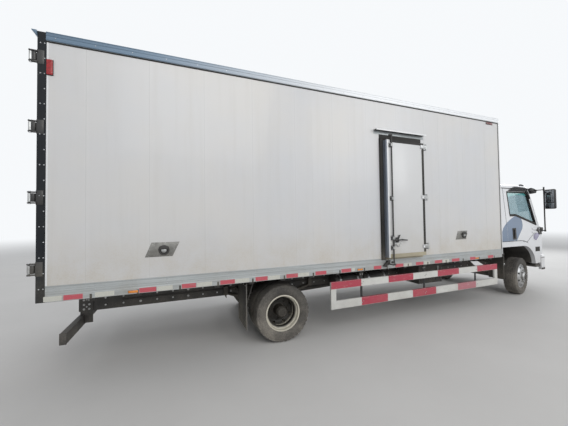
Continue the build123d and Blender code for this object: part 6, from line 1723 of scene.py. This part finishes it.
for seatName, (middle, half) in seatPads.items():
    grooves = [("x", 3.64), ("x", 3.8), ("y", middle - half + 0.075), ("y", middle + half - 0.075)]
    if half > 0.3:
        grooves.append(("y", middle))
    makePad("seatCushion_" + seatName, (3.452, middle - half, 1.352), (3.98, middle + half, 1.512), 0.045,
        grooves, ["seats"] if seatName == "driver" else ())
    grooves = [("z", 1.68), ("z", 1.85), ("y", middle - half + 0.07), ("y", middle + half - 0.07)]
    if half > 0.3:
        grooves.append(("y", middle))
    makePad("seatBack_" + seatName, (3.282, middle - half + 0.005, 1.4),
        (3.45, middle + half - 0.005, 2.06), 0.05, grooves)

# seat frames, runners, belts and buckles
mesh = bmesh.new()
for middle, half in seatPads.values():
    slab(mesh, 3.3, 3.96, middle - half + 0.02, middle + half - 0.02, 1.3405, 1.36, 0.006)
    for way in (-1, 1):
        slab(mesh, 3.29, 3.47, middle + way * (half - 0.01) - 0.004, middle + way * (half - 0.01) + 0.004,
            1.345, 1.44, 0.003)
    slab(mesh, 3.282, 3.288, middle - half + 0.06, middle + half - 0.06, 1.4, 2.0, 0.002, 1)
for y in (0.735, -0.932):
    slab(mesh, 3.2, 3.215, y - 0.024, y + 0.024, 1.4, 2.15, 0.002, 2)
for y in (0.205, 0.02, -0.46):
    addAll(mesh, slab, ((3.5, 3.53, y - 0.018, y + 0.018, 1.345, 1.53, 0.006, 1),
        (3.498, 3.534, y - 0.02, y + 0.02, 1.515, 1.56, 0.006, 3)))
makePiece("seatFrames", mesh, "cab", [steelDark, blackPlastic, sealRubber, lampRed])

# lining: headliner, back wall, floor mat, wheel housings, door cards
mesh = bmesh.new()
addAll(mesh, slab, ((3.06, 4.26, -0.78, 0.78, 2.454, 2.462, 0.003),
    (3.0305, 3.04, -0.9, 0.9, 1.345, 2.395, 0.003, 1)))
for k in range(4):
    slab(mesh, 3.039, 3.043, -0.86 + 0.44 * k, -0.46 + 0.44 * k, 1.42, 2.32, 0.002)
addAll(mesh, slab, ((3.06, 4.1, -0.96, 0.96, 1.3402, 1.346, 0.002, 2),
    (4.165, 4.44, -0.96, 0.96, 1.1002, 1.106, 0.002, 2)))
for way in (-1, 1):
    drape(mesh, ((3.04, 1.35), (3.25, 1.35), (3.25, 2.39), (3.04, 2.39)), "side", -0.059, -0.0502, way, 1,
        0.2)
makePiece("cabLining", mesh, "cab", [cabLining, cabGrey, sealRubber])
for sideName, way in sideWays.items():
    mesh = bmesh.new()
    addAll(mesh, drape, ((((3.3, 1.25), (3.3, 1.788), (3.62, 1.788), (4.33, 1.57), (4.33, 1.5),
        (4.15, 1.36), (3.98, 1.25)), "side", -0.06, -0.0503, way, 0, 0.12),
        (((3.36, 1.43), (4.06, 1.43), (4.1, 1.56), (3.64, 1.72), (3.36, 1.72)), "side", -0.066, -0.059, way,
        1, 0.12)))
    inside = way * (cabSideY(3.7, 1.5) - 0.06)
    addAll(mesh, slab, ((3.42, 3.86, inside, inside - way * 0.045, 1.505, 1.545, 0.012, 0, 3),
        (3.93, 4.06, inside, inside - way * 0.01, 1.5, 1.53, 0.004, 2)))
    addAll(mesh, rod, (((3.56, inside, 1.4), (3.56, inside - way * 0.035, 1.4), 0.012),
        ((3.56, inside - way * 0.03, 1.4), (3.64, inside - way * 0.034, 1.37), 0.008, 12, 0, 0.007),
        ((3.64, inside - way * 0.022, 1.37), (3.64, inside - way * 0.055, 1.37), 0.013, 16, 0, 0.011)))
    frameStrips(mesh, windowEdge, -0.022, "side", -0.059, -0.0502, way, 0, 0.12)
    makePiece("doorCard_" + sideName, mesh, "cab_door_" + sideName, [cabGrey, cabLining, zincPlate])

    # wheel housing: a dark shell inside the arch
    mesh = bmesh.new()
    path = [(2.985, 1.109), (3.74, 1.109)]
    for k in range(1, 10):
        angle = math.radians(90 - 10 * k)
        path.append((3.74 + 0.469 * math.cos(angle), 0.682 + 0.427 * math.sin(angle)))
    outer = [(x + (0.004 if x > 4.0 else 0.0), z + 0.004) for x, z in path]
    prism(mesh, path + outer[::-1], "y", way * 0.44, way * 0.985)
    wall = [(2.985, 0.83)] + path[:8] + [(4.06, 0.83)]
    prism(mesh, wall, "y", way * 0.44, way * 0.444)
    for k in range(5):
        x = 3.05 + 0.15 * k
        slab(mesh, x - 0.006, x + 0.006, way * 0.46, way * 0.97, 1.105, 1.1095, 0.001)
    makePiece("wheelHousing_" + sideName, mesh, "cab", [blackPlastic])

# dashboard: cowl, dials, vents, glove box, switches, column shroud
mesh = bmesh.new()
addAll(mesh, prism, ((((4.335, 1.5), (4.36, 1.545), (4.48, 1.57), (4.62, 1.548), (4.66, 1.5),
    (4.655, 1.482), (4.345, 1.482)), "y", -0.56, 0.8, 0.008), (((4.3, 1.47), (4.335, 1.6), (4.42, 1.628),
    (4.46, 1.56), (4.44, 1.5), (4.345, 1.48)), "y", 0.25, 0.69, 0.012, 0, 3),
    (((4.296, 1.48), (4.33, 1.594), (4.338, 1.592), (4.304, 1.478)), "y", 0.27, 0.67, 0.002, 1)))
for y, radius in ((0.375, 0.052), (0.565, 0.052), (0.47, 0.03)):
    lathe(mesh, ((0.0, radius - 0.006), (0.006, radius - 0.004), (0.006, radius), (0.0, radius + 0.002)),
        (4.315, y, 1.538), (-0.96, 0, 0.28), 32, 2)
    rod(mesh, (4.3105, y, 1.54), (4.3105, y - radius * 0.5, 1.54 + radius * 0.5), 0.0022, 8, 3, 0.001)
for y in (-0.47, -0.3, 0.15, 0.745):
    slab(mesh, 4.333, 4.35, y - 0.06, y + 0.06, 1.42, 1.48, 0.004, 1)
    for k in range(4):
        slab(mesh, 4.33, 4.336, y - 0.054, y + 0.054, 1.428 + 0.013 * k, 1.434 + 0.013 * k, 0.001)
addAll(mesh, slab, ((4.33, 4.345, -0.56, -0.18, 1.27, 1.4, 0.008),
    (4.324, 4.334, -0.4, -0.34, 1.385, 1.4, 0.003, 1), (4.33, 4.345, -0.06, 0.18, 1.29, 1.4, 0.004, 1)))
for k in range(3):
    lathe(mesh, ((0.0, 0.019), (0.016, 0.017), (0.018, 0.014), (0.018, 0.0)),
        (4.33, -0.01 + 0.07 * k, 1.32), (-1, 0, 0), 20, 1)
    slab(mesh, 4.326, 4.332, -0.04 + 0.075 * k, 0.02 + 0.075 * k, 1.355, 1.385, 0.002)
rod(mesh, (4.06, -0.02, 1.346), (4.02, 0.02, 1.62), 0.01, 14, 2, 0.008)
verts = bmesh.ops.create_uvsphere(mesh, u_segments=20, v_segments=12, radius=0.026,
    matrix=Matrix.Translation((4.018, 0.022, 1.64)))["verts"]
setMaterial(verts, 1)
lathe(mesh, ((0.0, 0.06), (0.02, 0.052), (0.05, 0.03), (0.07, 0.018), (0.0, 0.016)), (4.058, -0.018, 1.346),
    (0, 0, 1), 20, 4)
makePiece("dashDetail", mesh, "cab", [cabGrey, blackPlastic, zincPlate, lampRed, sealRubber])
mesh = bmesh.new()
axis = Vector((-0.5, 0, 0.866))
centre = Vector((4.15, 0.47, 1.64))
addAll(mesh, lathe, ((((-0.01, 0.0), (-0.01, 0.062), (0.012, 0.066), (0.026, 0.05), (0.03, 0.0)), centre,
    axis, 32), (((-0.3, 0.03), (-0.3, 0.048), (-0.06, 0.056), (-0.02, 0.05), (-0.02, 0.03)), centre, axis,
    24)))
for way in (-1, 1):
    rod(mesh, centre + axis * -0.075 + Vector((0, way * 0.045, 0)),
        centre + axis * -0.062 + Vector((-0.02, way * 0.2, 0)), 0.01, 12, 1, 0.007)
for k in range(40):
    angle = math.radians(9 * k)
    side = Vector((0, 1, 0))
    up = axis.cross(side)
    outward = side * math.cos(angle) + up * math.sin(angle)
    along = side * -math.sin(angle) + up * math.cos(angle)
    ring = centre + outward * 0.205
    rod(mesh, ring - along * 0.0045, ring + along * 0.0045, 0.0163, 14, 1)
makePiece("wheelDetail", mesh, "cab", [cabGrey, blackPlastic])
print("cab inside ready")


# floor
floorMesh = bmesh.new()
bmesh.ops.create_grid(floorMesh, x_segments=2, y_segments=2, size=studio["floorSize"] / 2)
floorData = bpy.data.meshes.new("floor")
floorMesh.to_mesh(floorData)
floorMesh.free()
floorData.materials.append(floorShade)
floor = addObject("floor", floorData)
